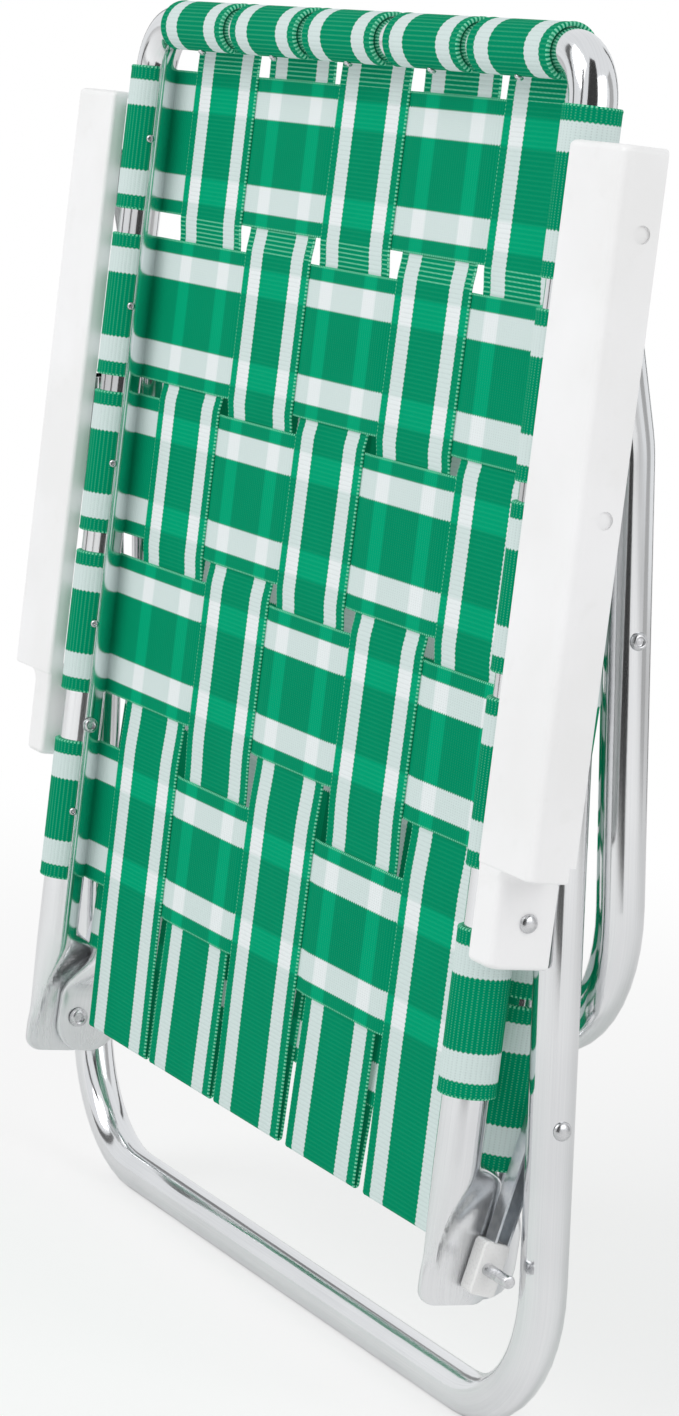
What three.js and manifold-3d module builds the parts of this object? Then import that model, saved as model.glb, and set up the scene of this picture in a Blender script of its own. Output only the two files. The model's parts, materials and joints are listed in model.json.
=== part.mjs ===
// Folding webbed lawn chair, shown folded flat and standing on its rear leg loop.
// X runs to the chair's right as seen from behind, Y from the back panel to the legs, Z up.
import * as THREE from 'three';
import { mergeVertices } from 'three/addons/utils/BufferGeometryUtils.js';
import Module from 'manifold-3d';

const wasm = await Module();
wasm.setup();

// Driving dimensions, in millimetres and degrees
const TUBE_DIAMETER = 22.2;
const TUBE_SIDES = 16;
const PIN_SIDES = 12;
const FIT = 0.3; // gap between pieces that touch
const PLAY = 0.7; // gap between pieces that swing past each other

const STRAP_WIDTH = 76.2;
const STRAP_THICKNESS = 1.1;
const WRAP_THICKNESS = 2; // the strap end is doubled where it wraps a tube
const WRAP_SWEEP = 255; // how much of the tube a strap end covers
const WEAVE_LIFT = 0.75; // how far a strap leaves the panel plane at a crossing
const LONG_STRAP_PITCH = 84.5;
const LONG_STRAP_COUNT = 5;
const LONG_STRAP_FOOT = 3; // long straps stop this far above the pivot, where they fold
const PANEL_GAP = 1.4; // between the two webbed panels when folded

const BACK_HALF_SPAN = 237.8; // centre plane to tube axis
const BACK_TOP = 628.5; // height of the top bar's axis
const BACK_BEND = 24;
const BACK_CROSS_STRAPS = [164.7, 268.1, 355.5, 440.4, 529.8]; // lower edges, bottom to top
const SEAT_FRONT = 486; // along the seat tube to the front bar's axis
const SEAT_BEND = 16.5;
const SEAT_STRAP_PITCH = 80;
const SEAT_STRAP_CLEAR = 14; // bare tube on either side of the leg pivot
const SEAT_LEAN = 2; // between seat and back tubes when folded

const TAB_THICKNESS = 4; // flattened tube end
const TAB_HALF_WIDTH = 17.5;
const TAB_CORNER = 7;
const TAB_POWER = 6; // squareness of the pressed section; 2 is an ellipse
const TAB_GAP = 0.6; // between the two tabs on the pivot bolt
const BACK_TAB_BOTTOM = 67;
const BACK_TAB_TOP = 112; // flat up to here
const BACK_ROUND_FROM = 158; // round tube from here
const BACK_TAB_SHIFT = 6; // tab centre, towards the sitter
const SEAT_TAB_BOTTOM = 68;
const SEAT_TAB_TOP = 100;
const SEAT_ROUND_FROM = 126;
const SEAT_TAB_SHIFT = 5;

const PIVOT = { y: 15, z: 87 }; // back, seat and links turn here
const ARM_REAR = { y: 0, z: 250.5 }; // arm on back frame
const ARM_MIDDLE = { y: 0, z: 432 }; // arm on rear leg
const LEG_ON_SEAT_HEIGHT = 378;
const LINK_ON_LEG_HEIGHT = 157;

const LEG_BEND = 72;
const LEG_END = 6; // tube beyond the arm rivet
const LEG_KINK_RADIUS = 90;
const REAR_LEG_KINK = { y: 13.5, z: 335 };
const REAR_LEG_LEAN = 5.5; // below the kink
const FRONT_LEG_KINK_HEIGHT = 462;
const FRONT_LEG_LEAN = 7.1; // below the kink
const FRONT_LEG_CROSSBAR_HEIGHT = 186;

const ARM_WIDTH = 50;
const ARM_TOP_FACE = -17.5; // depth of the face that the hand rests on
const ARM_SKIRT = 23.5;
const ARM_INNER_SKIRT = 8.5;
const ARM_WALL = 2.7;
const ARM_END = 591;
const ARM_FRONT_INSET = 37; // front leg rivet, from the arm's end
const ARM_SHOULDER = 283; // where the channel narrows towards the tongue
const ARM_SHOULDER_STEP = 9;
const ARM_SHOULDER_WIDTH = 36;
const TONGUE_WIDTH = 22;
const TONGUE_DEPTH = 25;
const TONGUE_END = 229;
const ARM_EDGE = 2; // rounding of the arm's edges
const ARM_CORNER = 5;
const BOSS_RADIUS = 7;
const ARM_RECESS = 3.2; // the rivet heads sit below the arm's side

const RIVET_RADIUS = 3;
const RIVET_HEAD_RADIUS = 5;
const RIVET_HEAD_HEIGHT = 2.6;
const WASHER_RADIUS = 6.5;
const WASHER_THICKNESS = 1;
const BOLT_HEAD_RADIUS = 6.5;
const BOLT_HEAD_HEIGHT = 2.5;
const BOLT_TAIL = 21; // bolt beyond the link block, the stop for the rear leg
const BUSH_RADIUS = 7.5;

const LINK_WIDTH = 14; // across the channel, in the side view
const LINK_WALL = 1.5;
const LINK_END = 8; // channel beyond its rivet
const BLOCK_LENGTH = 25;
const BLOCK_WIDTH = 13;
const BLOCK_CORNER = 2.5;
const BLOCK_STEM = 14; // how far the block plugs into the channel

// As many evenly spaced places as fit from a first one up or down to a last.
function evenRows(first, pitch, last) {
  const count = Math.floor((last - first) / pitch) + 1;
  return Array.from({ length: count }, (_, i) => first + i * pitch);
}

// Sizes that follow
const R = TUBE_DIAMETER / 2;
const PANEL_DEPTH = R + FIT + STRAP_THICKNESS / 2; // middle of the webbed panel, from the tube axis
const PANEL_REACH = PANEL_DEPTH + WEAVE_LIFT + STRAP_THICKNESS / 2;
const WRAP_RADIUS = R + FIT + WRAP_THICKNESS / 2;
const WRAP_REACH = WRAP_RADIUS + WRAP_THICKNESS / 2;
const ARM_INNER = BACK_HALF_SPAN + WRAP_REACH + FIT;
const ARM_OUTER = ARM_INNER + ARM_WIDTH;
const LEG_HALF_SPAN = BACK_HALF_SPAN + WRAP_REACH + PLAY + R;
const LEG_INNER_FACE = LEG_HALF_SPAN - R;
const LEG_OUTER_FACE = LEG_HALF_SPAN + R;
const LINK_INNER = BACK_HALF_SPAN + TAB_THICKNESS / 2 + 2 * PLAY;
const LINK_OUTER = LEG_INNER_FACE - PLAY;
const SEAT_HALF_SPAN = BACK_HALF_SPAN - TAB_THICKNESS / 2 - PLAY - R; // just inside the back tabs
const SEAT_TAB_INNER_FACE = BACK_HALF_SPAN - 1.5 * TAB_THICKNESS - TAB_GAP;
const SEAT_SLOPE = Math.tan(THREE.MathUtils.degToRad(SEAT_LEAN));
const seatStrapsBelow = evenRows(
  LEG_ON_SEAT_HEIGHT - SEAT_STRAP_CLEAR - STRAP_WIDTH,
  -SEAT_STRAP_PITCH,
  SEAT_ROUND_FROM,
);
const seatStrapsAbove = evenRows(
  LEG_ON_SEAT_HEIGHT + SEAT_STRAP_CLEAR,
  SEAT_STRAP_PITCH,
  SEAT_FRONT - SEAT_BEND - STRAP_WIDTH,
);
const SEAT_CROSS_STRAPS = [...seatStrapsBelow.reverse(), ...seatStrapsAbove]; // lower edges, rear to front
const SEAT_OFFSET = 2 * PANEL_REACH + PANEL_GAP - SEAT_CROSS_STRAPS[0] * SEAT_SLOPE; // at floor height
const ARM_FRONT = { y: 0, z: ARM_END - ARM_FRONT_INSET }; // arm on front leg
const FRONT_LEG_SLOPE = Math.tan(THREE.MathUtils.degToRad(FRONT_LEG_LEAN));
const REAR_LEG_SLOPE = Math.tan(THREE.MathUtils.degToRad(REAR_LEG_LEAN));
const LEG_ON_SEAT = { y: SEAT_OFFSET + LEG_ON_SEAT_HEIGHT * SEAT_SLOPE, z: LEG_ON_SEAT_HEIGHT };
const onFrontLeg = (z) => ({ y: LEG_ON_SEAT.y + (LEG_ON_SEAT.z - z) * FRONT_LEG_SLOPE, z });
const onRearLeg = (z) => ({ y: REAR_LEG_KINK.y + (REAR_LEG_KINK.z - z) * REAR_LEG_SLOPE, z });
const LINK_ON_LEG = onRearLeg(LINK_ON_LEG_HEIGHT);

// Finishes
const aluminium = new THREE.MeshStandardMaterial({ color: 0xd9dadb, roughness: 0.18, metalness: 1 });
const steel = new THREE.MeshStandardMaterial({ color: 0xb9babc, roughness: 0.25, metalness: 1 });
const plastic = new THREE.MeshStandardMaterial({ color: 0xf2f3f3, roughness: 0.45, metalness: 0 });
const nylon = new THREE.MeshStandardMaterial({ color: 0xf6f6f4, roughness: 0.55, metalness: 0 });
const webbing = new THREE.MeshStandardMaterial({ color: 0x078a55, roughness: 0.6, metalness: 0 });

const radians = THREE.MathUtils.degToRad;
const lerp = THREE.MathUtils.lerp;
const vec = (x, y, z) => new THREE.Vector3(x, y, z);

// Closed meshes and cuts

function signedVolume(points, faces) {
  let sum = 0;
  const cross = new THREE.Vector3();
  for (let i = 0; i < faces.length; i += 3) {
    const [a, b, c] = [points[faces[i]], points[faces[i + 1]], points[faces[i + 2]]];
    sum += a.dot(cross.crossVectors(b, c));
  }
  return sum;
}

function closedMesh(points, faces) {
  const turned = signedVolume(points, faces) < 0;
  const index = turned ? faces.map((_, i) => faces[i - (i % 3) + [0, 2, 1][i % 3]]) : faces;
  const geometry = new THREE.BufferGeometry();
  geometry.setAttribute('position', new THREE.Float32BufferAttribute(points.flatMap((p) => p.toArray()), 3));
  geometry.setIndex(index);
  return geometry;
}

// Skins a row of rings that all have the same number of points, and caps both ends.
function loft(rings) {
  const sides = rings[0].length;
  const faces = [];
  for (let r = 0; r + 1 < rings.length; r++) {
    for (let s = 0; s < sides; s++) {
      const a = r * sides + s;
      const b = r * sides + ((s + 1) % sides);
      faces.push(a, b, a + sides, b, b + sides, a + sides);
    }
  }
  const last = (rings.length - 1) * sides;
  for (let s = 1; s + 1 < sides; s++) {
    faces.push(0, s + 1, s, last, last + s, last + s + 1);
  }
  return closedMesh(rings.flat(), faces);
}

function solid(geometry) {
  const bare = geometry.clone();
  bare.deleteAttribute('normal');
  bare.deleteAttribute('uv');
  const merged = mergeVertices(bare, 1e-4);
  return new wasm.Manifold(new wasm.Mesh({
    numProp: 3,
    vertProperties: new Float32Array(merged.attributes.position.array),
    triVerts: new Uint32Array(merged.index.array),
  }));
}

function fromSolid(body) {
  const mesh = body.getMesh();
  const geometry = new THREE.BufferGeometry();
  geometry.setAttribute('position', new THREE.BufferAttribute(new Float32Array(mesh.vertProperties), 3));
  geometry.setIndex(new THREE.BufferAttribute(new Uint32Array(mesh.triVerts), 1));
  return geometry;
}

const cut = (geometry, tools) =>
  fromSolid(tools.reduce((body, tool) => body.subtract(solid(tool)), solid(geometry)));
const join = (geometries) =>
  fromSolid(geometries.slice(1).reduce((body, other) => body.add(solid(other)), solid(geometries[0])));

function mirrored(geometry) {
  const copy = geometry.clone().applyMatrix4(new THREE.Matrix4().makeScale(-1, 1, 1));
  const index = Array.from(copy.index.array);
  copy.setIndex(index.map((_, i) => index[i - (i % 3) + [0, 2, 1][i % 3]]));
  return copy;
}

// A turned piece on an axis along X: profile points are [x, radius], from axis to axis.
function turnedOnX(profile, at) {
  const inner = profile.slice(1, -1);
  const points = [vec(profile[0][0], at.y, at.z), vec(profile[profile.length - 1][0], at.y, at.z)];
  const faces = [];
  inner.forEach(([x, radius], ring) => {
    for (let k = 0; k < PIN_SIDES; k++) {
      const angle = (2 * Math.PI * k) / PIN_SIDES;
      points.push(vec(x, at.y + radius * Math.cos(angle), at.z + radius * Math.sin(angle)));
      const a = 2 + ring * PIN_SIDES + k;
      const b = 2 + ring * PIN_SIDES + ((k + 1) % PIN_SIDES);
      if (ring === 0) {
        faces.push(0, b, a);
      }
      if (ring + 1 < inner.length) {
        faces.push(a, b, a + PIN_SIDES, b, b + PIN_SIDES, a + PIN_SIDES);
      } else {
        faces.push(1, a, b);
      }
    }
  });
  return closedMesh(points, faces);
}

const pinOnX = (from, to, radius, at) => turnedOnX([[from, 0], [from, radius], [to, radius], [to, 0]], at);

// Bent tubes

const BEND_STEPS = 7; // per quarter turn

// Rounds the corners of a polyline; each corner is { point, radius }, and the two ends have no radius.
function bentPath(corners) {
  const path = [corners[0].point];
  for (let i = 1; i + 1 < corners.length; i++) {
    const { point, radius } = corners[i];
    const back = corners[i - 1].point.clone().sub(point).normalize();
    const ahead = corners[i + 1].point.clone().sub(point).normalize();
    const half = back.angleTo(ahead) / 2;
    const centre = back.clone().add(ahead).normalize().multiplyScalar(radius / Math.sin(half)).add(point);
    const start = back.clone().multiplyScalar(radius / Math.tan(half)).add(point);
    const end = ahead.clone().multiplyScalar(radius / Math.tan(half)).add(point);
    const sweep = Math.PI - 2 * half;
    const steps = Math.max(2, Math.round((BEND_STEPS * sweep) / (Math.PI / 2)));
    const from = start.clone().sub(centre);
    const axis = from.clone().cross(end.clone().sub(centre)).normalize();
    for (let s = 0; s <= steps; s++) {
      path.push(from.clone().applyAxisAngle(axis, (sweep * s) / steps).add(centre));
    }
  }
  path.push(corners[corners.length - 1].point);
  return path;
}

// Sweeps a section along a path that never runs along Y. Each station sets its own half sizes:
// deep is the one nearest to Y, across is square to it.
function sweep(path, sectionAt) {
  const rings = path.map((p, i) => {
    const before = path[Math.max(i - 1, 0)];
    const after = path[Math.min(i + 1, path.length - 1)];
    const tangent = after.clone().sub(before).normalize();
    const across = vec(0, 1, 0).cross(tangent).normalize();
    const deep = tangent.clone().cross(across);
    const { halfAcross, halfDeep, power } = sectionAt(i);
    return Array.from({ length: TUBE_SIDES }, (_, k) => {
      const angle = (2 * Math.PI * (k + 0.5)) / TUBE_SIDES;
      const bend = (value) => Math.sign(value) * Math.abs(value) ** (2 / power);
      return p.clone()
        .addScaledVector(across, halfAcross * bend(Math.cos(angle)))
        .addScaledVector(deep, halfDeep * bend(Math.sin(angle)));
    });
  });
  return loft(rings);
}

const roundSection = { halfAcross: R, halfDeep: R, power: 2 };

// Webbed frames: a U of tube with flattened ends, and straps on the side that the sitter leans on.
// Frame coordinates are x, depth towards the sitter, and length along the tubes.

const backFrame = {
  halfSpan: BACK_HALF_SPAN,
  top: BACK_TOP,
  bend: BACK_BEND,
  crossStraps: BACK_CROSS_STRAPS,
  tab: {
    bottom: BACK_TAB_BOTTOM,
    top: BACK_TAB_TOP,
    roundFrom: BACK_ROUND_FROM,
    depth: BACK_TAB_SHIFT,
    out: 0,
  },
  firstRow: 5,
  rowStep: -1,
  place: (x, depth, length) => vec(x, depth, length),
};

const seatLean = radians(SEAT_LEAN);
const seatFrame = {
  halfSpan: SEAT_HALF_SPAN,
  top: SEAT_FRONT,
  bend: SEAT_BEND,
  crossStraps: SEAT_CROSS_STRAPS,
  tab: {
    bottom: SEAT_TAB_BOTTOM,
    top: SEAT_TAB_TOP,
    roundFrom: SEAT_ROUND_FROM,
    depth: SEAT_TAB_SHIFT,
    out: BACK_HALF_SPAN - TAB_THICKNESS - TAB_GAP - SEAT_HALF_SPAN,
  },
  firstRow: 6,
  rowStep: 1,
  place: (x, depth, length) => vec(
    x,
    SEAT_OFFSET + length * Math.sin(seatLean) - depth * Math.cos(seatLean),
    length * Math.cos(seatLean) + depth * Math.sin(seatLean),
  ),
};

const CORNER_STEPS = 3;
const PRESS_STEPS = 5;

// Half of the frame's path, from the flattened end up to the round tube, with its sections.
function pressedEnd(frame, side) {
  const { tab } = frame;
  const stations = [];
  const flat = { halfAcross: TAB_THICKNESS / 2, power: TAB_POWER };
  for (let i = 0; i <= CORNER_STEPS; i++) {
    const angle = (Math.PI / 2) * (i / CORNER_STEPS);
    stations.push({
      length: tab.bottom + TAB_CORNER * (1 - Math.cos(angle)),
      shift: 1,
      section: { ...flat, halfDeep: TAB_HALF_WIDTH - TAB_CORNER * (1 - Math.sin(angle)) },
    });
  }
  for (let i = 0; i <= PRESS_STEPS; i++) {
    const share = THREE.MathUtils.smoothstep(i / PRESS_STEPS, 0, 1);
    stations.push({
      length: lerp(tab.top, tab.roundFrom, i / PRESS_STEPS),
      shift: (1 - share) ** 3,
      section: {
        halfAcross: lerp(TAB_THICKNESS / 2, R, share),
        halfDeep: lerp(TAB_HALF_WIDTH, R, share),
        power: lerp(flat.power, 2, share),
      },
    });
  }
  return stations.map(({ length, shift, section }) => ({
    point: frame.place(side * (frame.halfSpan + tab.out * shift), tab.depth * shift, length),
    section,
  }));
}

function frameTube(frame) {
  const left = pressedEnd(frame, -1);
  const right = pressedEnd(frame, 1).reverse();
  const bow = bentPath([
    { point: left[left.length - 1].point },
    { point: frame.place(-frame.halfSpan, 0, frame.top), radius: frame.bend },
    { point: frame.place(frame.halfSpan, 0, frame.top), radius: frame.bend },
    { point: right[0].point },
  ]).slice(1, -1);
  const sections = [
    ...left.map((s) => s.section),
    ...bow.map(() => roundSection),
    ...right.map((s) => s.section),
  ];
  const path = [...left.map((s) => s.point), ...bow, ...right.map((s) => s.point)];
  return sweep(path, (i) => sections[i]);
}

const WRAP_STEPS = 12;
const longStrapCentres = Array.from(
  { length: LONG_STRAP_COUNT },
  (_, i) => (i - (LONG_STRAP_COUNT - 1) / 2) * LONG_STRAP_PITCH,
);

// The wrap round a tube, as [outward, depth, thickness, normal]; zero degrees is the panel side.
function wrapStations() {
  return Array.from({ length: WRAP_STEPS + 1 }, (_, i) => {
    const share = i / WRAP_STEPS;
    const angle = radians(90 - share * WRAP_SWEEP);
    const thickness = i === 0 ? STRAP_THICKNESS : WRAP_THICKNESS;
    const radius = i === 0 ? PANEL_DEPTH : WRAP_RADIUS;
    return { outward: radius * Math.cos(angle), depth: radius * Math.sin(angle), thickness, angle };
  });
}

// Flat run through the weave: from start to end, lifted to either side at each crossing.
function weaveStations(crossings, half) {
  return crossings.flatMap(({ centre, lift }) => [
    { along: centre - half, depth: PANEL_DEPTH + lift },
    { along: centre + half, depth: PANEL_DEPTH + lift },
  ]);
}

// Ribbon through stations of { a, depth, na, nd, thickness } in a plane, given width along the third axis.
function ribbon(stations, place) {
  return loft(stations.map(({ a, depth, na, nd, thickness }) => {
    const half = thickness / 2;
    return [[-1, -1], [1, -1], [1, 1], [-1, 1]].map(([side, face]) =>
      place(a + na * half * face, depth + nd * half * face, (side * STRAP_WIDTH) / 2));
  }));
}

function crossStrap(frame, row, lower) {
  const centre = lower + STRAP_WIDTH / 2;
  const crossings = longStrapCentres.map((x, i) => ({ centre: x, lift: liftOf(i, row, 1) }));
  const wrap = wrapStations().map(({ outward, depth, thickness, angle }) => ({
    a: frame.halfSpan + outward, depth, na: Math.cos(angle), nd: Math.sin(angle), thickness,
  }));
  const mirroredWrap = wrap.map((s) => ({ ...s, a: -s.a, na: -s.na }));
  const flat = weaveStations(crossings, STRAP_WIDTH / 2)
    .map(({ along, depth }) => ({ a: along, depth, na: 0, nd: 1, thickness: STRAP_THICKNESS }));
  const stations = [...mirroredWrap.reverse(), ...flat, ...wrap];
  return ribbon(stations, (x, depth, w) => frame.place(x, depth, centre + w));
}

function longStrap(frame, index) {
  const centre = longStrapCentres[index];
  const crossings = frame.crossStraps.map((lower, r) => ({
    centre: lower + STRAP_WIDTH / 2, lift: liftOf(index, frame.firstRow + frame.rowStep * r, -1),
  }));
  const wrap = wrapStations().map(({ outward, depth, thickness, angle }) => ({
    a: frame.top + outward, depth, na: Math.cos(angle), nd: Math.sin(angle), thickness,
  }));
  const flat = weaveStations(crossings, STRAP_WIDTH / 2)
    .map(({ along, depth }) => ({ a: along, depth, na: 0, nd: 1, thickness: STRAP_THICKNESS }));
  const foot = { a: PIVOT.z + LONG_STRAP_FOOT, depth: PANEL_DEPTH, na: 0, nd: 1, thickness: STRAP_THICKNESS };
  return ribbon([foot, ...flat, ...wrap], (length, depth, w) => frame.place(centre + w, depth, length));
}

// Cross and long straps pass each other on opposite sides, in turn; the sign is for the cross strap.
function liftOf(index, row, sign) {
  return sign * WEAVE_LIFT * ((index + 1 + row) % 2 === 0 ? 1 : -1);
}

// Leg loops

// The side profile is mirrored to the other leg, and the last corner becomes the crossbar.
function legLoop(sideProfile, bends) {
  const corners = (side) =>
    sideProfile.map((p, i) => ({ point: vec(side * LEG_HALF_SPAN, p.y, p.z), radius: bends[i] }));
  return sweep(bentPath([...corners(-1), ...corners(1).reverse()]), () => roundSection);
}

function beyond(from, to) {
  const start = vec(0, from.y, from.z);
  return vec(0, to.y, to.z).sub(start).setLength(-LEG_END).add(start);
}

const frontLegKink = onFrontLeg(FRONT_LEG_KINK_HEIGHT);
const rearCrossbar = onRearLeg(R * Math.cos(Math.PI / TUBE_SIDES)); // its lower flat is on the floor
const rearLegLine = [beyond(ARM_MIDDLE, REAR_LEG_KINK), REAR_LEG_KINK, rearCrossbar];
const frontLegLine = [beyond(ARM_FRONT, frontLegKink), frontLegKink, onFrontLeg(FRONT_LEG_CROSSBAR_HEIGHT)];
const legBends = [0, LEG_KINK_RADIUS, LEG_BEND];

// Pivot holes run along X through both sides of the chair.
const hole = (at, centre, reach, radius = RIVET_RADIUS) => {
  const right = pinOnX(centre - reach, centre + reach, radius + FIT, at);
  return [right, mirrored(right)];
};
const HOLE_REACH = TUBE_DIAMETER;

const backTube = cut(frameTube(backFrame), [
  ...hole(PIVOT, BACK_HALF_SPAN, HOLE_REACH),
  ...hole(ARM_REAR, BACK_HALF_SPAN, HOLE_REACH),
]);
const seatTube = cut(frameTube(seatFrame), [
  ...hole(PIVOT, SEAT_HALF_SPAN, HOLE_REACH),
  ...hole(LEG_ON_SEAT, SEAT_HALF_SPAN, HOLE_REACH),
]);
const rearLegs = cut(legLoop(rearLegLine, legBends), [
  ...hole(ARM_MIDDLE, LEG_HALF_SPAN, HOLE_REACH),
  ...hole(LINK_ON_LEG, LEG_HALF_SPAN, HOLE_REACH),
]);
const frontLegs = cut(legLoop(frontLegLine, legBends), [
  ...hole(ARM_FRONT, LEG_HALF_SPAN, HOLE_REACH),
  ...hole(LEG_ON_SEAT, LEG_HALF_SPAN, HOLE_REACH),
]);

// Arms: a moulded channel with a tongue, drawn in the X-Z view and given depth along Y

function roundedOutline(corners) {
  const shape = new THREE.Shape();
  corners.forEach(([x, z, radius], i) => {
    const [px, pz] = corners[(i + corners.length - 1) % corners.length];
    const [nx, nz] = corners[(i + 1) % corners.length];
    const into = new THREE.Vector2(px - x, pz - z).setLength(radius);
    const out = new THREE.Vector2(nx - x, nz - z).setLength(radius);
    if (i === 0) {
      shape.moveTo(x + into.x, z + into.y);
    } else {
      shape.lineTo(x + into.x, z + into.y);
    }
    shape.quadraticCurveTo(x, z, x + out.x, z + out.y);
  });
  shape.closePath();
  return shape;
}

// Rebuilds a geometry with its points moved by a rule, and its faces pointing out again.
function remapped(geometry, move) {
  const bare = geometry.clone();
  bare.deleteAttribute('normal');
  bare.deleteAttribute('uv');
  const merged = mergeVertices(bare, 1e-4);
  const position = merged.attributes.position;
  const pointAt = (_, i) => move(vec().fromBufferAttribute(position, i));
  const points = Array.from({ length: position.count }, pointAt);
  return closedMesh(points, Array.from(merged.index.array));
}

function box(x0, x1, y0, y1, z0, z1) {
  const block = new THREE.BoxGeometry(x1 - x0, y1 - y0, z1 - z0);
  block.translate((x0 + x1) / 2, (y0 + y1) / 2, (z0 + z1) / 2);
  return remapped(block, (p) => p);
}

const armOutline = roundedOutline([
  [ARM_INNER, TONGUE_END, ARM_CORNER],
  [ARM_INNER + TONGUE_WIDTH, TONGUE_END, ARM_CORNER],
  [ARM_INNER + TONGUE_WIDTH, ARM_SHOULDER - ARM_SHOULDER_STEP, ARM_EDGE],
  [ARM_INNER + ARM_SHOULDER_WIDTH, ARM_SHOULDER - ARM_SHOULDER_STEP, ARM_EDGE],
  [ARM_INNER + ARM_SHOULDER_WIDTH, ARM_SHOULDER, ARM_EDGE],
  [ARM_OUTER, ARM_SHOULDER, ARM_EDGE],
  [ARM_OUTER, ARM_END, ARM_CORNER],
  [ARM_INNER, ARM_END, ARM_CORNER],
]);

function armBody() {
  const deepest = ARM_TOP_FACE + TONGUE_DEPTH;
  const skirtEdge = ARM_TOP_FACE + ARM_SKIRT;
  const past = deepest + 4 * ARM_EDGE;
  const slab = new THREE.ExtrudeGeometry(armOutline, {
    depth: TONGUE_DEPTH + ARM_EDGE,
    bevelSize: ARM_EDGE,
    bevelThickness: ARM_EDGE,
    bevelOffset: -ARM_EDGE,
    bevelSegments: 2,
    curveSegments: 2,
  });
  const blank = remapped(slab, (p) => vec(p.x, p.z + ARM_TOP_FACE + ARM_EDGE, p.y));
  const all = [ARM_INNER - ARM_WALL, ARM_OUTER + ARM_WALL];
  const shell = cut(blank, [
    box(...all, deepest, past, TONGUE_END - ARM_WALL, ARM_END + ARM_WALL),
    box(...all, skirtEdge, past, ARM_SHOULDER - ARM_SHOULDER_STEP, ARM_END + ARM_WALL),
    box(ARM_INNER + ARM_WALL, ARM_OUTER - ARM_WALL, ARM_TOP_FACE + ARM_WALL, past,
      ARM_SHOULDER + ARM_WALL, ARM_END - ARM_WALL),
    box(ARM_INNER - ARM_WALL, ARM_INNER + 2 * ARM_WALL, ARM_TOP_FACE + ARM_INNER_SKIRT, past,
      ARM_SHOULDER + ARM_WALL, ARM_END - ARM_WALL),
  ]);
  const skirtBosses = [ARM_MIDDLE, ARM_FRONT].map((at) => {
    const reach = Math.min(BOSS_RADIUS, skirtEdge - at.y);
    return pinOnX(LEG_OUTER_FACE + FIT, ARM_OUTER - ARM_WALL / 2, reach, at);
  });
  const tongueBoss = pinOnX(BACK_HALF_SPAN + R + FIT, ARM_INNER + ARM_WALL, BOSS_RADIUS, ARM_REAR);
  const drilled = [ARM_REAR, ARM_MIDDLE, ARM_FRONT].map((at) =>
    pinOnX(BACK_HALF_SPAN, ARM_OUTER + ARM_WALL, RIVET_RADIUS + FIT, at));
  const recesses = [ARM_MIDDLE, ARM_FRONT].map((at) =>
    pinOnX(ARM_OUTER - ARM_RECESS, ARM_OUTER + ARM_WALL, RIVET_HEAD_RADIUS + FIT, at));
  return cut(join([shell, ...skirtBosses, tongueBoss]), [...drilled, ...recesses]);
}

// Links: a small channel from the rear leg down to a nylon block on the pivot bolt

const linkAxis = vec(0, LINK_ON_LEG.y - PIVOT.y, LINK_ON_LEG.z - PIVOT.z);
const linkLength = linkAxis.length();
const linkTilt = Math.atan2(linkAxis.y, linkAxis.z);

// Link coordinates: x, width towards the seat, and length up from the pivot.
const onLink = (p) =>
  vec(p.x, p.y, p.z).applyAxisAngle(vec(1, 0, 0), -linkTilt).add(vec(0, PIVOT.y, PIVOT.z));

function slabOnLink(corners, from, to) {
  const slab = new THREE.ExtrudeGeometry(roundedOutline(corners), {
    depth: to - from, bevelEnabled: false, curveSegments: 3,
  });
  return remapped(slab, (p) => onLink(vec(from + p.z, p.x, p.y)));
}

const rectangle = (w0, w1, l0, l1, lower, upper) =>
  [[w0, l0, lower], [w1, l0, lower], [w1, l1, upper], [w0, l1, upper]];
const LINK_FOOT = BLOCK_LENGTH / 2 + FIT;
const linkHalf = LINK_WIDTH / 2;

function linkChannel() {
  const top = linkLength + LINK_END;
  const strip = slabOnLink(
    rectangle(-linkHalf, linkHalf, LINK_FOOT, top, LINK_WALL, linkHalf),
    LINK_INNER,
    LINK_OUTER,
  );
  const hollow = slabOnLink(
    rectangle(
      -LINK_WIDTH,
      linkHalf - LINK_WALL,
      LINK_FOOT - LINK_WALL,
      top - LINK_WALL,
      LINK_WALL,
      LINK_WALL,
    ),
    LINK_INNER + LINK_WALL,
    LINK_OUTER - LINK_WALL,
  );
  const drilled = pinOnX(LINK_OUTER - 2 * LINK_WALL, LINK_OUTER + LINK_WALL, RIVET_RADIUS + FIT, LINK_ON_LEG);
  return cut(strip, [hollow, drilled]);
}

function linkBlock() {
  const half = BLOCK_WIDTH / 2;
  const stemEdge = linkHalf - LINK_WALL - FIT;
  const body = slabOnLink(
    rectangle(-half, half, -BLOCK_LENGTH / 2, BLOCK_LENGTH / 2, BLOCK_CORNER, BLOCK_CORNER),
    LINK_INNER,
    LINK_OUTER,
  );
  const stem = slabOnLink(
    rectangle(-stemEdge, stemEdge, 0, BLOCK_LENGTH / 2 + BLOCK_STEM, LINK_WALL, LINK_WALL),
    LINK_INNER + LINK_WALL + FIT,
    LINK_OUTER - LINK_WALL - FIT,
  );
  return cut(join([body, stem]), [pinOnX(LINK_INNER - R, LINK_OUTER + R, RIVET_RADIUS + FIT, PIVOT)]);
}

// Pins on X: a low domed head, a shank, and where it shows a clinched end with its washer

const DOME = [[1, 0], [0.92, 0.45], [0.6, 0.85]]; // shares of a head's height and radius

const domedHead = (seat, out, radius, height) => [
  ...DOME.map(([up, across]) => [seat + out * height * up, radius * across]),
  [seat + out * FIT, radius],
];

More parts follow.
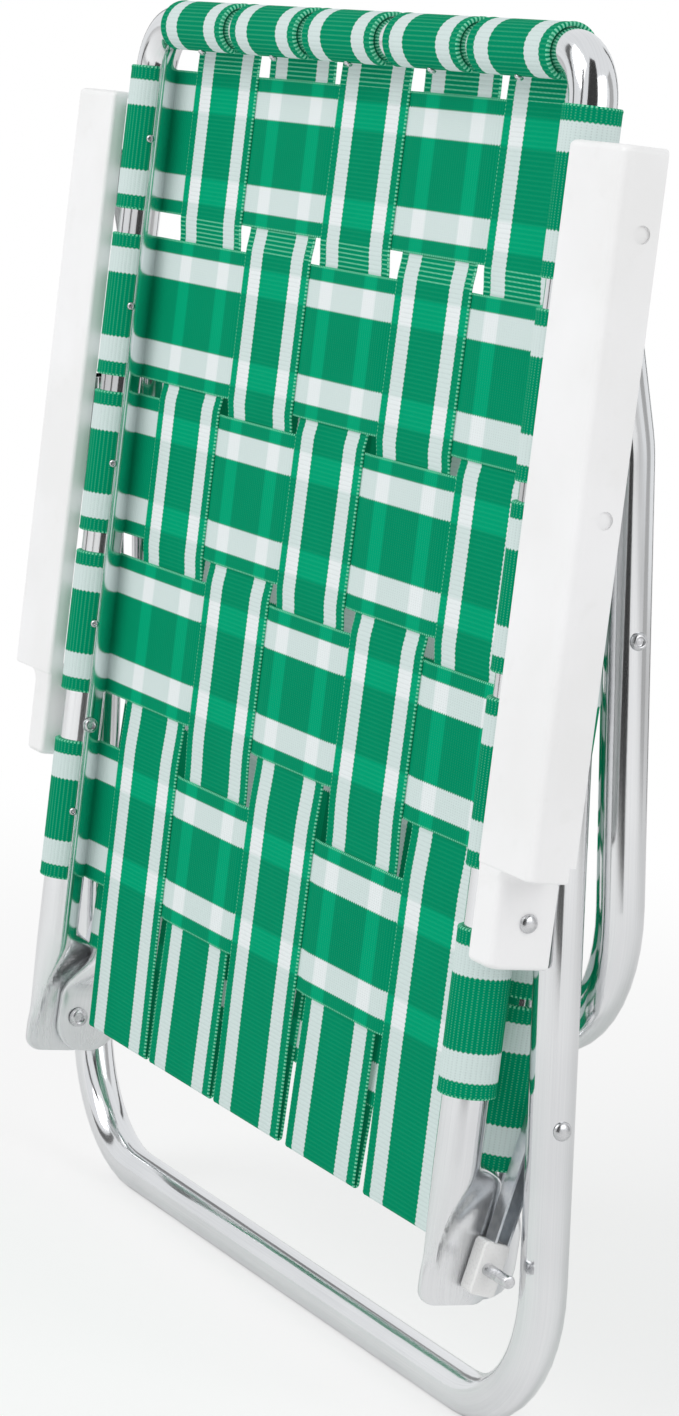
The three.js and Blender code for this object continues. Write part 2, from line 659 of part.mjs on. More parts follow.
function rivet(at, headSeat, end) {
  return turnedOnX([
    ...domedHead(headSeat, 1, RIVET_HEAD_RADIUS, RIVET_HEAD_HEIGHT),
    [headSeat + FIT, RIVET_RADIUS],
    [end, RIVET_RADIUS],
    [end, 0],
  ], at);
}

function armRearRivet() {
  const washerSeat = BACK_HALF_SPAN - R;
  return turnedOnX([
    ...domedHead(ARM_INNER + TONGUE_WIDTH, 1, RIVET_HEAD_RADIUS, RIVET_HEAD_HEIGHT),
    [ARM_INNER + TONGUE_WIDTH + FIT, RIVET_RADIUS],
    [washerSeat - FIT, RIVET_RADIUS],
    [washerSeat - FIT, WASHER_RADIUS],
    [washerSeat - FIT - WASHER_THICKNESS, WASHER_RADIUS],
    [washerSeat - FIT - WASHER_THICKNESS, RIVET_RADIUS + WASHER_THICKNESS],
    [washerSeat - FIT - 2 * WASHER_THICKNESS, RIVET_RADIUS],
    [washerSeat - FIT - 2 * WASHER_THICKNESS, 0],
  ], ARM_REAR);
}

function pivotBolt() {
  return turnedOnX([
    ...domedHead(SEAT_TAB_INNER_FACE, -1, BOLT_HEAD_RADIUS, BOLT_HEAD_HEIGHT),
    [SEAT_TAB_INNER_FACE - FIT, RIVET_RADIUS],
    [LINK_OUTER + BOLT_TAIL - WASHER_THICKNESS, RIVET_RADIUS],
    [LINK_OUTER + BOLT_TAIL, RIVET_RADIUS - WASHER_THICKNESS],
    [LINK_OUTER + BOLT_TAIL, 0],
  ], PIVOT);
}

// The bush stands on the seat tube and is clinched inside it; the front leg's rivet meets it.
function seatBush() {
  const inside = SEAT_HALF_SPAN - R - FIT;
  return turnedOnX([
    [LEG_INNER_FACE - FIT, 0],
    [LEG_INNER_FACE - FIT, BUSH_RADIUS],
    [SEAT_HALF_SPAN + R + FIT, BUSH_RADIUS],
    [SEAT_HALF_SPAN + R + FIT, RIVET_RADIUS],
    [inside, RIVET_RADIUS],
    [inside, RIVET_HEAD_RADIUS],
    [inside - WASHER_THICKNESS, RIVET_HEAD_RADIUS - WASHER_THICKNESS],
    [inside - WASHER_THICKNESS, 0],
  ], LEG_ON_SEAT);
}

// A stub through the link's outer wall, facing the rivet in the rear leg.
function linkStub() {
  const inside = LINK_OUTER - LINK_WALL - FIT;
  return turnedOnX([
    [LEG_INNER_FACE - FIT, 0],
    [LEG_INNER_FACE - FIT, RIVET_RADIUS],
    [inside, RIVET_RADIUS],
    [inside, RIVET_HEAD_RADIUS],
    [inside - WASHER_THICKNESS, RIVET_HEAD_RADIUS - WASHER_THICKNESS],
    [inside - WASHER_THICKNESS, 0],
  ], LINK_ON_LEG);
}

// Assembly

const chair = new THREE.Group();

function add(name, geometry, material) {
  const mesh = new THREE.Mesh(geometry, material);
  mesh.name = name;
  chair.add(mesh);
}

function addPair(name, geometry, material) {
  add(`${name}_right`, geometry, material);
  add(`${name}_left`, mirrored(geometry), material);
}

function addWebbing(name, frame) {
  frame.crossStraps.forEach((lower, r) => {
    const row = frame.firstRow + frame.rowStep * r;
    add(`${name}_cross_strap_${r + 1}`, crossStrap(frame, row, lower), webbing);
  });
  longStrapCentres.forEach((_, i) => {
    add(`${name}_long_strap_${i + 1}`, longStrap(frame, i), webbing);
  });
}

add('back_frame', backTube, aluminium);
add('seat_frame', seatTube, aluminium);
add('rear_leg_loop', rearLegs, aluminium);
add('front_leg_loop', frontLegs, aluminium);
addPair('arm', armBody(), plastic);
addPair('link', linkChannel(), aluminium);
addPair('link_block', linkBlock(), nylon);
addPair('link_stub', linkStub(), steel);
addPair('pivot_bolt', pivotBolt(), steel);
addPair('arm_rear_rivet', armRearRivet(), steel);
addPair('arm_middle_rivet', rivet(ARM_MIDDLE, ARM_OUTER - ARM_RECESS, LEG_INNER_FACE + FIT), steel);
addPair('arm_front_rivet', rivet(ARM_FRONT, ARM_OUTER - ARM_RECESS, LEG_INNER_FACE + FIT), steel);
addPair('front_leg_rivet', rivet(LEG_ON_SEAT, LEG_OUTER_FACE, LEG_INNER_FACE + FIT), steel);
addPair('rear_leg_rivet', rivet(LINK_ON_LEG, LEG_OUTER_FACE, LEG_INNER_FACE + FIT), steel);
addPair('seat_bush', seatBush(), nylon);
addWebbing('back', backFrame);
addWebbing('seat', seatFrame);

// The origin is on the floor, midway along the crossbar that the folded chair stands on.
chair.position.y = -rearCrossbar.y;

export default chair;
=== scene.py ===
# %% [markdown]
# # A folding webbed lawn chair
# The chair stands folded: bent aluminium tubes, two moulded arms, and green and white webbing that is
# woven over the back and, behind it, over the seat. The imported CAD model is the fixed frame. Everything
# below is made in its coordinates, in metres, so a piece goes where the frame says and needs no fitting.

# %% Load the frame
import json
import math

import bmesh
import bpy
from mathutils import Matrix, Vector

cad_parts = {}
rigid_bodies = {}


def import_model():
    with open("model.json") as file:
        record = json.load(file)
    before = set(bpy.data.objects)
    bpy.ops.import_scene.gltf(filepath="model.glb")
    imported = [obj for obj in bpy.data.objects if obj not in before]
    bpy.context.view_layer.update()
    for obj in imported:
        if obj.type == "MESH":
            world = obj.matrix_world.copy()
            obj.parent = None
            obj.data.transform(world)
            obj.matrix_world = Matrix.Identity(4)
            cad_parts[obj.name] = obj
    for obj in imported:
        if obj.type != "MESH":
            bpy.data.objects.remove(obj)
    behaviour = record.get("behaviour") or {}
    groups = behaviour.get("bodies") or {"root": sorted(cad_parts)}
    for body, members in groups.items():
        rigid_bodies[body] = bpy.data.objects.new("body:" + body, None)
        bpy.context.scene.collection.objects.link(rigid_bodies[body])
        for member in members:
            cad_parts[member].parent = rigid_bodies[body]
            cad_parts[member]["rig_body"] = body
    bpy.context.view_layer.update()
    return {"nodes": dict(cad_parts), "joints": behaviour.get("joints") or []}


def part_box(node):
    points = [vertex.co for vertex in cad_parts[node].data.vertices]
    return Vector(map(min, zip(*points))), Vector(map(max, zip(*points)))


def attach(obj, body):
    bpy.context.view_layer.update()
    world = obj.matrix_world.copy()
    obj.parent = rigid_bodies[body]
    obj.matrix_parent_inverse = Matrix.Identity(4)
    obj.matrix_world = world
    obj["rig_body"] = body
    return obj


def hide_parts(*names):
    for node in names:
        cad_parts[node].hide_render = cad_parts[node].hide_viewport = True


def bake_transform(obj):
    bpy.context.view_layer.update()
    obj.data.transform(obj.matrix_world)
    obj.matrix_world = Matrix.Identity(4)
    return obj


for leftover in list(bpy.data.objects):
    bpy.data.objects.remove(leftover)
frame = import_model()

# %% [markdown]
# ## Sizes
# The joints and the boxes of the CAD nodes give most places. What a box can't tell, such as a bend's
# radius, is named here once. Each webbed frame, back or seat, has its own simple coordinates: x across
# the chair, depth towards the sitter, and length along its tubes. One function for each frame turns
# those into chair coordinates, so the same code makes both.

# %% Sizes and places
pivots = {joint["name"]: Vector(joint["pos_m"]) for joint in frame["joints"]}


def middle_of(node):
    low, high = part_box(node)
    return (low + high) / 2


LEG_HALF_SPAN = 0.263
TUBE_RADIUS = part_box("rear_leg_loop")[1].x - LEG_HALF_SPAN
BACK_Y = pivots["arm_fold"].y
SEAT_LEAN = math.radians(2)
SEAT_PIVOT = middle_of("front_leg_rivet_right")
SEAT_Y = SEAT_PIVOT.y - SEAT_PIVOT.z * math.tan(SEAT_LEAN)
STRAP_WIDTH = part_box("back_cross_strap_1")[1].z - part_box("back_cross_strap_1")[0].z


def on_back(x, depth, length):
    return Vector((x, BACK_Y + depth, length))


def on_seat(x, depth, length):
    sine, cosine = math.sin(SEAT_LEAN), math.cos(SEAT_LEAN)
    return Vector((x, SEAT_Y + length * sine - depth * cosine, length * cosine + depth * sine))


def ways(panel):
    """A webbed frame's two directions: towards the sitter, and along its tubes."""
    start = panel["place"](0, 0, 0)
    return panel["place"](0, 1, 0) - start, panel["place"](0, 0, 1) - start


def strap_middles(name, axis, scale=1.0):
    count = sum(node.startswith(f"{name}_") for node in frame["nodes"])
    return [middle_of(f"{name}_{i + 1}")[axis] * scale for i in range(count)]


BACK = {
    "name": "back", "place": on_back, "half_span": 0.2378, "top": 0.6285, "bend": 0.024,
    "tab": {"bottom": 0.067, "corner": 0.0075, "depth": 0.006, "out": 0.0,
            "flat_to": 0.080, "slant": 0.043, "rise": 0.013, "round_from": 0.158},
    "rows": strap_middles("back_cross_strap", 2), "first_row": 5, "row_step": -1,
}
SEAT = {
    "name": "seat", "place": on_seat, "half_span": 0.2240, "top": 0.486, "bend": 0.0165,
    "tab": {"bottom": 0.068, "corner": 0.0150, "depth": 0.005, "out": 0.0092,
            "flat_to": 0.098, "slant": 0.0, "rise": 0.028, "round_from": 0.126},
    "rows": strap_middles("seat_cross_strap", 2, 1 / math.cos(SEAT_LEAN)), "first_row": 6, "row_step": 1,
}
COLUMNS = strap_middles("back_long_strap", 0)
FOLD_LENGTH = 0.0895
PULLED_AT_FOLD = [-0.001, -0.003, -0.005, -0.003, -0.001]
PULLED_AT_TOP = [-0.002, 0.001, 0.002, 0.006, 0.007]


def column_at(panel, column, length):
    """Where a long strap's middle lies: sitters have pulled the straps a little to one side."""
    share = (length - FOLD_LENGTH) / (panel["top"] - FOLD_LENGTH)
    high = PULLED_AT_TOP[column] if panel is BACK else 0.0
    return COLUMNS[column] + PULLED_AT_FOLD[column] * (1 - share) + high * share


print(f"tube radius {TUBE_RADIUS * 1000:.2f} mm, strap {STRAP_WIDTH * 1000:.1f} mm wide")
print("strap columns, mm:", [round(x * 1000, 1) for x in COLUMNS])

# %% [markdown]
# ## Camera
# The picture was taken from the right and a little above, with a long lens and the camera rolled a few
# degrees. A camera's own axes are right, up and back, so its turn is a matrix with these as columns.
# The lens follows from the picture's height and the focal length in pixels.

# %% Camera
IMAGE_HEIGHT = 1416
FOCAL_PIXELS = 4203.0
SENSOR = 36.0
NEAREST = 0.05
CAMERA_PLACE = Vector((1.84708, -0.95200, 0.573))
CAMERA_AZIMUTH, CAMERA_ELEVATION, CAMERA_ROLL = 1.09938, 0.13050, 0.12213


def set_down(name, data):
    """A new object in the scene."""
    thing = bpy.data.objects.new(name, data)
    bpy.context.scene.collection.objects.link(thing)
    return thing


def make_camera():
    data = bpy.data.cameras.new("camera")
    data.sensor_width = SENSOR
    data.lens = FOCAL_PIXELS / IMAGE_HEIGHT * SENSOR
    data.clip_start = NEAREST
    camera = set_down("camera", data)
    across = math.cos(CAMERA_ELEVATION)
    backwards = Vector((math.sin(CAMERA_AZIMUTH) * across, -math.cos(CAMERA_AZIMUTH) * across,
                        math.sin(CAMERA_ELEVATION)))
    right = Vector((math.cos(CAMERA_AZIMUTH), math.sin(CAMERA_AZIMUTH), 0))
    up = backwards.cross(right)
    rolled_right = math.cos(CAMERA_ROLL) * right + math.sin(CAMERA_ROLL) * up
    rolled_up = math.cos(CAMERA_ROLL) * up - math.sin(CAMERA_ROLL) * right
    for row in range(3):
        for column, axis in enumerate((rolled_right, rolled_up, backwards)):
            camera.matrix_world[row][column] = axis[row]
    camera.location = CAMERA_PLACE
    bpy.context.scene.camera = camera
    return camera


camera = make_camera()
print(f"camera lens {camera.data.lens:.1f} mm")

# %% [markdown]
# ## Node trees as expressions
# A finish is a tree of nodes. Written node by node it is long and hard to read, so a small class wraps
# one output socket: adding, subtracting, multiplying and dividing two of them adds Math nodes. Any other
# node comes from one method, which first sets the node's own settings and then its sockets. Geometry
# Nodes use the same class, because their trees are wired in the same way.

# %% A socket that can be used in sums
class Wire:
    def __init__(self, tree, socket=None):
        self.tree = tree
        self.socket = socket

    def node(self, kind, settings=None, values=None, output=0):
        made = self.tree.nodes.new(kind)
        for name, value in (settings or {}).items():
            setattr(made, name, value)
        for name, value in (values or {}).items():
            if isinstance(value, Wire):
                self.tree.links.new(value.socket, made.inputs[name])
            else:
                made.inputs[name].default_value = value
        return Wire(self.tree, made.outputs[output] if made.outputs else None)

    def math(self, operation, first, second=0.0):
        return self.node("ShaderNodeMath", {"operation": operation}, {0: first, 1: second})

    def __add__(self, other): return self.math("ADD", self, other)
    def __radd__(self, other): return self.math("ADD", other, self)
    def __sub__(self, other): return self.math("SUBTRACT", self, other)
    def __rsub__(self, other): return self.math("SUBTRACT", other, self)
    def __mul__(self, other): return self.math("MULTIPLY", self, other)
    def __rmul__(self, other): return self.math("MULTIPLY", other, self)
    def __truediv__(self, other): return self.math("DIVIDE", self, other)
    def __rtruediv__(self, other): return self.math("DIVIDE", other, self)
    def __abs__(self): return self.math("ABSOLUTE", self)

    def wave(self, pitch):
        return self.math("SINE", self * (2 * math.pi / pitch))

    def step(self, start, end):
        settings = {"interpolation_type": "SMOOTHSTEP"}
        return self.node("ShaderNodeMapRange", settings, {"Value": self, "From Min": start, "From Max": end})

    def part(self, axis):
        return self.node("ShaderNodeSeparateXYZ", {}, {0: self}, output=axis)

    def tint(self, low, high):
        """From one colour to another, each a wire or plain numbers."""
        low, high = [end if isinstance(end, Wire) else (*end, 1) for end in (low, high)]
        values = {"Factor": self, 6: low, 7: high}
        return self.node("ShaderNodeMix", {"data_type": "RGBA"}, values, output=2)


def linear(*levels):
    scaled = [level / 255 for level in levels]
    return [v / 12.92 if v <= 0.04045 else ((v + 0.055) / 1.055) ** 2.4 for v in scaled]


print("the expression class is ready")

# %% [markdown]
# ## Floor, light and background
# The studio is plain: a pale floor that keeps the chair's shadow, one broad soft lamp on each side and a
# bright room all round. Far from the chair the floor fades into the white of the room, so no horizon
# shows. Polished metal only looks like metal if it has something dark to mirror, so a few grey screens
# stand round the chair where only reflections see them, as a photographer would place them.

# %% Floor
FLOOR_RADIUS, FLOOR_SIDES = 9.0, 96
FLOOR_FADE = (0.5, 1.6)
FLOOR_GLOW = 0.62
FLOOR_PAINT = (0.93, 0.93, 0.93)
WHITE = (1, 1, 1, 1)


def mesh_of(name, form):
    mesh = bpy.data.meshes.new(name)
    form.to_mesh(mesh)
    form.free()
    return mesh


def bare_tree(owner):
    """The emptied node tree of a material or a world."""
    owner.use_nodes = True
    owner.node_tree.nodes.clear()
    return Wire(owner.node_tree)


def make_floor():
    form = bmesh.new()
    bmesh.ops.create_circle(form, cap_ends=True, segments=FLOOR_SIDES, radius=FLOOR_RADIUS)
    floor = set_down("floor", mesh_of("floor", form))
    paint = bpy.data.materials.new("floor_paint")
    start = bare_tree(paint)
    place = start.node("ShaderNodeTexCoord", output=3)
    distance = start.node("ShaderNodeVectorMath", {"operation": "LENGTH"}, {0: place}, output=1)
    matt = start.node("ShaderNodeBsdfDiffuse", {}, {"Color": (*FLOOR_PAINT, 1)})
    white = start.node("ShaderNodeEmission", {}, {"Color": WHITE, "Strength": 1.0})
    seen = start.node("ShaderNodeLightPath", output=0)
    fade = (FLOOR_GLOW + distance.step(*FLOOR_FADE) * (1 - FLOOR_GLOW)) * seen
    floor_look = start.node("ShaderNodeMixShader", {}, {0: fade, 1: matt, 2: white})
    start.node("ShaderNodeOutputMaterial", {}, {"Surface": floor_look})
    floor.data.materials.append(paint)


make_floor()
print("floor radius", FLOOR_RADIUS, "m")

# %% Room
ROOM_LIGHT = 0.62
MIRRORED_ROOM = (0.86, 0.87, 0.88)


def make_room():
    world = bpy.data.worlds.new("room")
    start = bare_tree(world)
    seen = start.node("ShaderNodeLightPath", output=0)
    mirrored = start.node("ShaderNodeLightPath", output=3)
    lit = start.node("ShaderNodeBackground", {}, {"Color": WHITE, "Strength": ROOM_LIGHT})
    glossy = start.node("ShaderNodeBackground", {}, {"Color": (*MIRRORED_ROOM, 1), "Strength": 1.0})
    white = start.node("ShaderNodeBackground", {}, {"Color": WHITE, "Strength": 1.0})
    room = start.node("ShaderNodeMixShader", {}, {0: mirrored, 1: lit, 2: glossy})
    room = start.node("ShaderNodeMixShader", {}, {0: seen, 1: room, 2: white})
    start.node("ShaderNodeOutputWorld", {}, {"Surface": room})
    bpy.context.scene.world = world


make_room()
bpy.context.scene.view_settings.view_transform = "Standard"
print("room light", ROOM_LIGHT)

# %% Lamps
LAMP_SIZE, LAMP_TARGET = 2.2, Vector((0, 0, 0.3))
LAMPS = {"key_lamp": (Vector((-0.4, -2.6, 2.4)), 42), "fill_lamp": (Vector((2.8, 0.6, 1.9)), 22)}


def face_towards(thing, target):
    thing.rotation_euler = (target - thing.location).to_track_quat("-Z", "Y").to_euler()


def make_lamp(name, place, power):
    data = bpy.data.lights.new(name, "AREA")
    data.size = LAMP_SIZE
    data.energy = power
    lamp = set_down(name, data)
    lamp.location = place
    face_towards(lamp, LAMP_TARGET)


for name, (place, power) in LAMPS.items():
    make_lamp(name, place, power)
print("lamps:", list(LAMPS))

# %% Grey screens
SCREEN_SIZE = (2.6, 0.42, 3.0)
PALE_SCREEN_SIZE = (2.6, 1.2, 3.0)
DARK_WALL_SIZE = (1.0, 0.70, 3.2)
SCREEN_BELOW_FLOOR = 0.3
SCREENS = [(150, 0.45, PALE_SCREEN_SIZE), (205, 0.10, SCREEN_SIZE), (262, 0.25, SCREEN_SIZE),
           (318, 0.12, SCREEN_SIZE), (8, 0.08, SCREEN_SIZE), (60, 0.05, DARK_WALL_SIZE)]


def make_screen(name, degrees, grey, distance, width, height):
    form = bmesh.new()
    bmesh.ops.create_grid(form, x_segments=1, y_segments=1, size=0.5)
    bmesh.ops.scale(form, vec=Vector((width, height, 1)), verts=form.verts)
    screen = set_down(name, mesh_of(name, form))
    angle = math.radians(degrees)
    screen.location = Vector((math.sin(angle) * distance, -math.cos(angle) * distance,
                              height / 2 - SCREEN_BELOW_FLOOR))
    face_towards(screen, Vector((0, 0, screen.location.z)))
    for kind in ("camera", "diffuse", "shadow", "transmission"):
        setattr(screen, f"visible_{kind}", False)
    cloth = bpy.data.materials.new(name)
    start = bare_tree(cloth)
    dull = start.node("ShaderNodeEmission", {}, {"Color": (grey, grey, grey, 1), "Strength": 1.0})
    start.node("ShaderNodeOutputMaterial", {}, {"Surface": dull})
    screen.data.materials.append(cloth)


for number, (degrees, grey, size) in enumerate(SCREENS):
    make_screen(f"grey_screen_{number + 1}", degrees, grey, *size)
print(len(SCREENS), "grey screens")

# %% [markdown]
# ## Finishes of metal and plastic
# Drawn and polished aluminium is a mirror with fine lines along the tube, a little duller where hands
# have been. The lines follow the tube's own UV map, one way round and one way along. The rivets and bolts
# are plated steel, duller and darker. The arms are satin plastic with the fine pebble of a mould, and the
# pivot blocks and the bushes are a smoother white nylon. None of them is one flat colour: cloudy noise in
# object coordinates varies colour and roughness. A noise's scale says how many clouds lie on a metre.

# %% What every finish needs
def new_finish(name, constants):
    material = bpy.data.materials.new(name)
    material.use_nodes = True
    shader = material.node_tree.nodes["Principled BSDF"]
    for socket, value in constants.items():
        shader.inputs[socket].default_value = value
    return material, Wire(material.node_tree), shader


def connect(material, shader, **wires):
    for socket, wire in wires.items():
        material.node_tree.links.new(wire.socket, shader.inputs[socket.replace("_", " ")])


def object_noise(start, scale, detail=3.0):
    place = start.node("ShaderNodeTexCoord", output=3)
    return start.node("ShaderNodeTexNoise", {}, {"Vector": place, "Scale": scale, "Detail": detail})


def bumped(start, height, distance, strength):
    values = {"Height": height, "Distance": distance, "Strength": strength}
    return start.node("ShaderNodeBump", {}, values)


print("finishes can be made")

# %% Metal
PRESSED_DULLNESS = 0.16
SMUDGES, LINE_BUMP = 9.0, (0.0001, 0.10)
PLATING_CLOUDS, PLATING_SPECKS, SPECK_BUMP = 260.0, 1800.0, (0.00005, 0.25)


def drawn_metal(name, dark, light, roughness, line_scale):
    material, start, shader = new_finish(name, {"Metallic": 1.0})
    run = start.node("ShaderNodeUVMap", {"uv_map": "Run"})
    stretched = start.node("ShaderNodeMapping", {}, {"Vector": run, "Scale": line_scale})
    lines = start.node("ShaderNodeTexNoise", {}, {"Vector": stretched, "Scale": 1.0, "Detail": 2.0})
    smudge = object_noise(start, SMUDGES)
    pressed = start.node("ShaderNodeAttribute", {"attribute_name": "pressed"}, output=2)
    dullness = lines * 0.5 + smudge.step(0.35, 0.7) * 0.5
    connect(material, shader,
            Base_Color=(lines * 0.35 + smudge * 0.65).step(0.25, 0.75).tint(dark, light),
            Roughness=roughness[0] + dullness * roughness[1] + pressed * PRESSED_DULLNESS,
            Normal=bumped(start, lines, *LINE_BUMP))
    return material


def plated_metal(name, dark, light, roughness):
    material, start, shader = new_finish(name, {"Metallic": 1.0})
    cloud = object_noise(start, PLATING_CLOUDS)
    speck = object_noise(start, PLATING_SPECKS)
    connect(material, shader,
            Base_Color=cloud.step(0.3, 0.7).tint(dark, light),
            Roughness=roughness[0] + (cloud * 0.6 + speck * 0.4) * roughness[1],
            Normal=bumped(start, speck, *SPECK_BUMP))
    return material


ALUMINIUM = drawn_metal("polished_aluminium", linear(222, 223, 225), linear(240, 241, 242),
                        (0.07, 0.11), (1500.0, 12.0, 1.0))
LINK_METAL = plated_metal("rolled_link_metal", linear(206, 211, 216), linear(222, 225, 228), (0.24, 0.14))
STEEL = plated_metal("plated_steel", linear(198, 199, 201), linear(222, 222, 224), (0.16, 0.22))
print("metals:", [m.name for m in (ALUMINIUM, LINK_METAL, STEEL)])

# %% Plastic
MOULD_CLOUDS, SCUFFS, PEBBLE_STRENGTH, PLASTIC_IOR = 14.0, 70.0, 0.35, 1.49


def moulded(name, dark, light, roughness, pebble, pebble_height):
    material, start, shader = new_finish(name, {"IOR": PLASTIC_IOR})
    cloud = object_noise(start, MOULD_CLOUDS)
    grain = object_noise(start, pebble, 2.0)
    scuff = object_noise(start, SCUFFS, 6.0).step(0.60, 0.72)
    connect(material, shader,
            Base_Color=(cloud.step(0.3, 0.7) - scuff * 0.35).tint(dark, light),
            Roughness=roughness[0] + (grain * 0.4 + cloud * 0.3 + scuff * 0.3) * roughness[1],
            Normal=bumped(start, grain, pebble_height, PEBBLE_STRENGTH))
    return material


ARM_PLASTIC = moulded("satin_arm_plastic", linear(240, 240, 240), linear(246, 246, 247), (0.34, 0.22),
                      1500.0, 0.00006)
NYLON = moulded("white_nylon", linear(240, 240, 239), linear(246, 246, 246), (0.22, 0.18),
                900.0, 0.00003)
print("plastics:", [m.name for m in (ARM_PLASTIC, NYLON)])

# %% [markdown]
# ## Finish of the webbing
# The strap is woven plastic yarn: a broad green band, two white ones and green edges, with a fine dashed
# selvage. Its UV map gives the place across and along the strap, so stripes and ribs follow every bend.
# The cloth is thin enough to let light through from the strap behind it, and that light is painted into
# the colour: where a white stripe lies behind, the green is lighter and the white is brighter. A second
# UV map says how far across the strap behind the place is, and holds -1 where there is none. Its other
# number says how much painted light shows through the weave: where light comes through from behind, the
# pores between the ribs show as rows of pale dashes, and faintly so everywhere.
# A closed solid lets no light through, so a weak glow in the cloth's own colour stands for it. The rib of
# the weave is a product of two sine waves, and its grooves are darkened with painted shade.

# %% Webbing
STRIPE_WHITE, STRIPE_JAG = (0.0170, 0.0306), 0.00028
STRIPE_SOFT, BEHIND_SOFT = 0.0003, 0.0012
SELVAGE, DASH_SHARE = (0.0370, 0.0373), 0.9
RIB_PITCH, YARN_PITCH, DASH_PITCH = 0.0022, 0.0012, 0.0019
GROOVE_SHADE, WEAVE_BUMP = 0.17, (0.00016, 0.55)
YARN_CLOUDS, YARN_FLUFF, YARN_IOR, YARN_GLOSS, YARN_ROUGHNESS = 28.0, 1400.0, 1.45, 0.01, 0.50
BLACK = (0, 0, 0)
# The lit green and white are painted light from a white stripe behind; the pale green is both the selvage
# dashes' own colour and painted light through the pores.
GREEN_PLAIN, GREEN_LIT, GREEN_DASH_AND_BACKLIGHT = linear(0, 125, 88), linear(0, 149, 107), linear(120, 200, 166)
WHITE_PLAIN, WHITE_LIT = linear(189, 203, 201), linear(212, 217, 218)
# A painted glow for light through the cloth, and faint painted light through the pores everywhere.
LIGHT_THROUGH, BACKLIGHT_EVERYWHERE = 0.25, 0.04


def stripes(from_middle, soft):
    inner, outer = STRIPE_WHITE
    return from_middle.step(inner - soft, inner + soft) - from_middle.step(outer - soft, outer + soft)


def woven():
    constants = {"IOR": YARN_IOR, "Specular IOR Level": YARN_GLOSS, "Emission Strength": LIGHT_THROUGH}
    material, start, shader = new_finish("striped_webbing", constants)
    strap = start.node("ShaderNodeUVMap", {"uv_map": "Strap"})
    behind = start.node("ShaderNodeUVMap", {"uv_map": "Behind"})
    across, along = strap.part(0), strap.part(1) * STRAP_WIDTH
    hidden, backlight = behind.part(0), behind.part(1)
    from_middle = abs(across - 0.5) * STRAP_WIDTH
    rib = along.wave(RIB_PITCH)
    yarn = (across * STRAP_WIDTH).wave(YARN_PITCH)
    white = stripes(from_middle + rib * STRIPE_JAG, STRIPE_SOFT)
    dashes = from_middle.step(*SELVAGE) * along.wave(DASH_PITCH).step(-0.4, 0.6)
    # Painted light: the cloth is lighter where a white stripe of the strap behind shows through.
    light_from_white_behind = hidden.step(-0.5, -0.4) * stripes(abs(hidden - 0.5) * STRAP_WIDTH, BEHIND_SOFT)
    cloud = object_noise(start, YARN_CLOUDS)
    fluff = object_noise(start, YARN_FLUFF, 2.0)
    green = (light_from_white_behind * 0.8 + cloud * 0.3 + fluff * 0.12 - 0.12).tint(GREEN_PLAIN, GREEN_LIT)
    pale = (light_from_white_behind * 0.85 + cloud * 0.2 + fluff * 0.12 - 0.10).tint(WHITE_PLAIN, WHITE_LIT)
    # Painted light through the pores where light comes from behind; the selvage dashes are the weave's own
    # pattern.
    pores = (backlight + BACKLIGHT_EVERYWHERE) * rib.step(0.25, 0.85) * yarn.step(-0.5, 0.5)
    bright = start.math("MAXIMUM", pores, dashes * DASH_SHARE)
    cloth = white.tint(bright.tint(green, GREEN_DASH_AND_BACKLIGHT), pale)
    # Painted shade in the grooves between the ribs and yarns.
    groove = (rib * yarn * 0.5 + rib * 0.5).step(-1.0, -0.2)
    cloth = (1 - GROOVE_SHADE + groove * GROOVE_SHADE).tint(BLACK, cloth)
    height = rib * 0.55 + rib * yarn * 0.35 + fluff * 0.3
    connect(material, shader, Base_Color=cloth, Emission_Color=cloth,
            Roughness=YARN_ROUGHNESS + groove * 0.08 + fluff * 0.12,
            Normal=bumped(start, height, *WEAVE_BUMP))
    return material


WEBBING = woven()
print("webbing ribs every", RIB_PITCH * 1000, "mm")

# %% [markdown]
# ## Bent tubes
# Each loop is one tube, bent cold, and on the back and seat frames its ends are pressed flat to make the
# pivot tabs. A curve with a round bevel would do for a plain bend but can't press the ends, so the tube is
# a row of rings. Near an end each point of a ring lies somewhere between the flat bar and the round tube.
# The press reaches higher on the sitter's side than on the other, so the change from flat to round starts
# at a different height for each point, which leaves a slanting dent and a tongue of round tube beside it.

# %% Rings of points
TUBE_SIDES, TUBE_WALL = 48, 0.0012


def new_piece(name, mesh, material):
    piece = set_down(name, mesh)
    mesh.materials.clear()
    mesh.materials.append(material)
    return piece


def section(power):
    """Points of a closed section, from a circle at power 2 to a flat bar with rounded ends."""
    points = []
    for k in range(TUBE_SIDES):
        angle = 2 * math.pi * (k + 0.5) / TUBE_SIDES
        deep = math.sin(angle)
        points.append((math.copysign((1 - abs(deep) ** power) ** (1 / power), math.cos(angle)), deep))
    return points


def ring(middle, across, deep, radius):
    return [middle + across * (radius * a) + deep * (radius * d) for a, d in section(2)]


print("tube rings have", TUBE_SIDES, "sides")

# %% A skin over rings
SHARP_EDGE = math.radians(40)


def face_outwards(mesh):
    form = bmesh.new()
    form.from_mesh(mesh)
    bmesh.ops.recalc_face_normals(form, faces=form.faces)
    form.to_mesh(mesh)
    form.free()


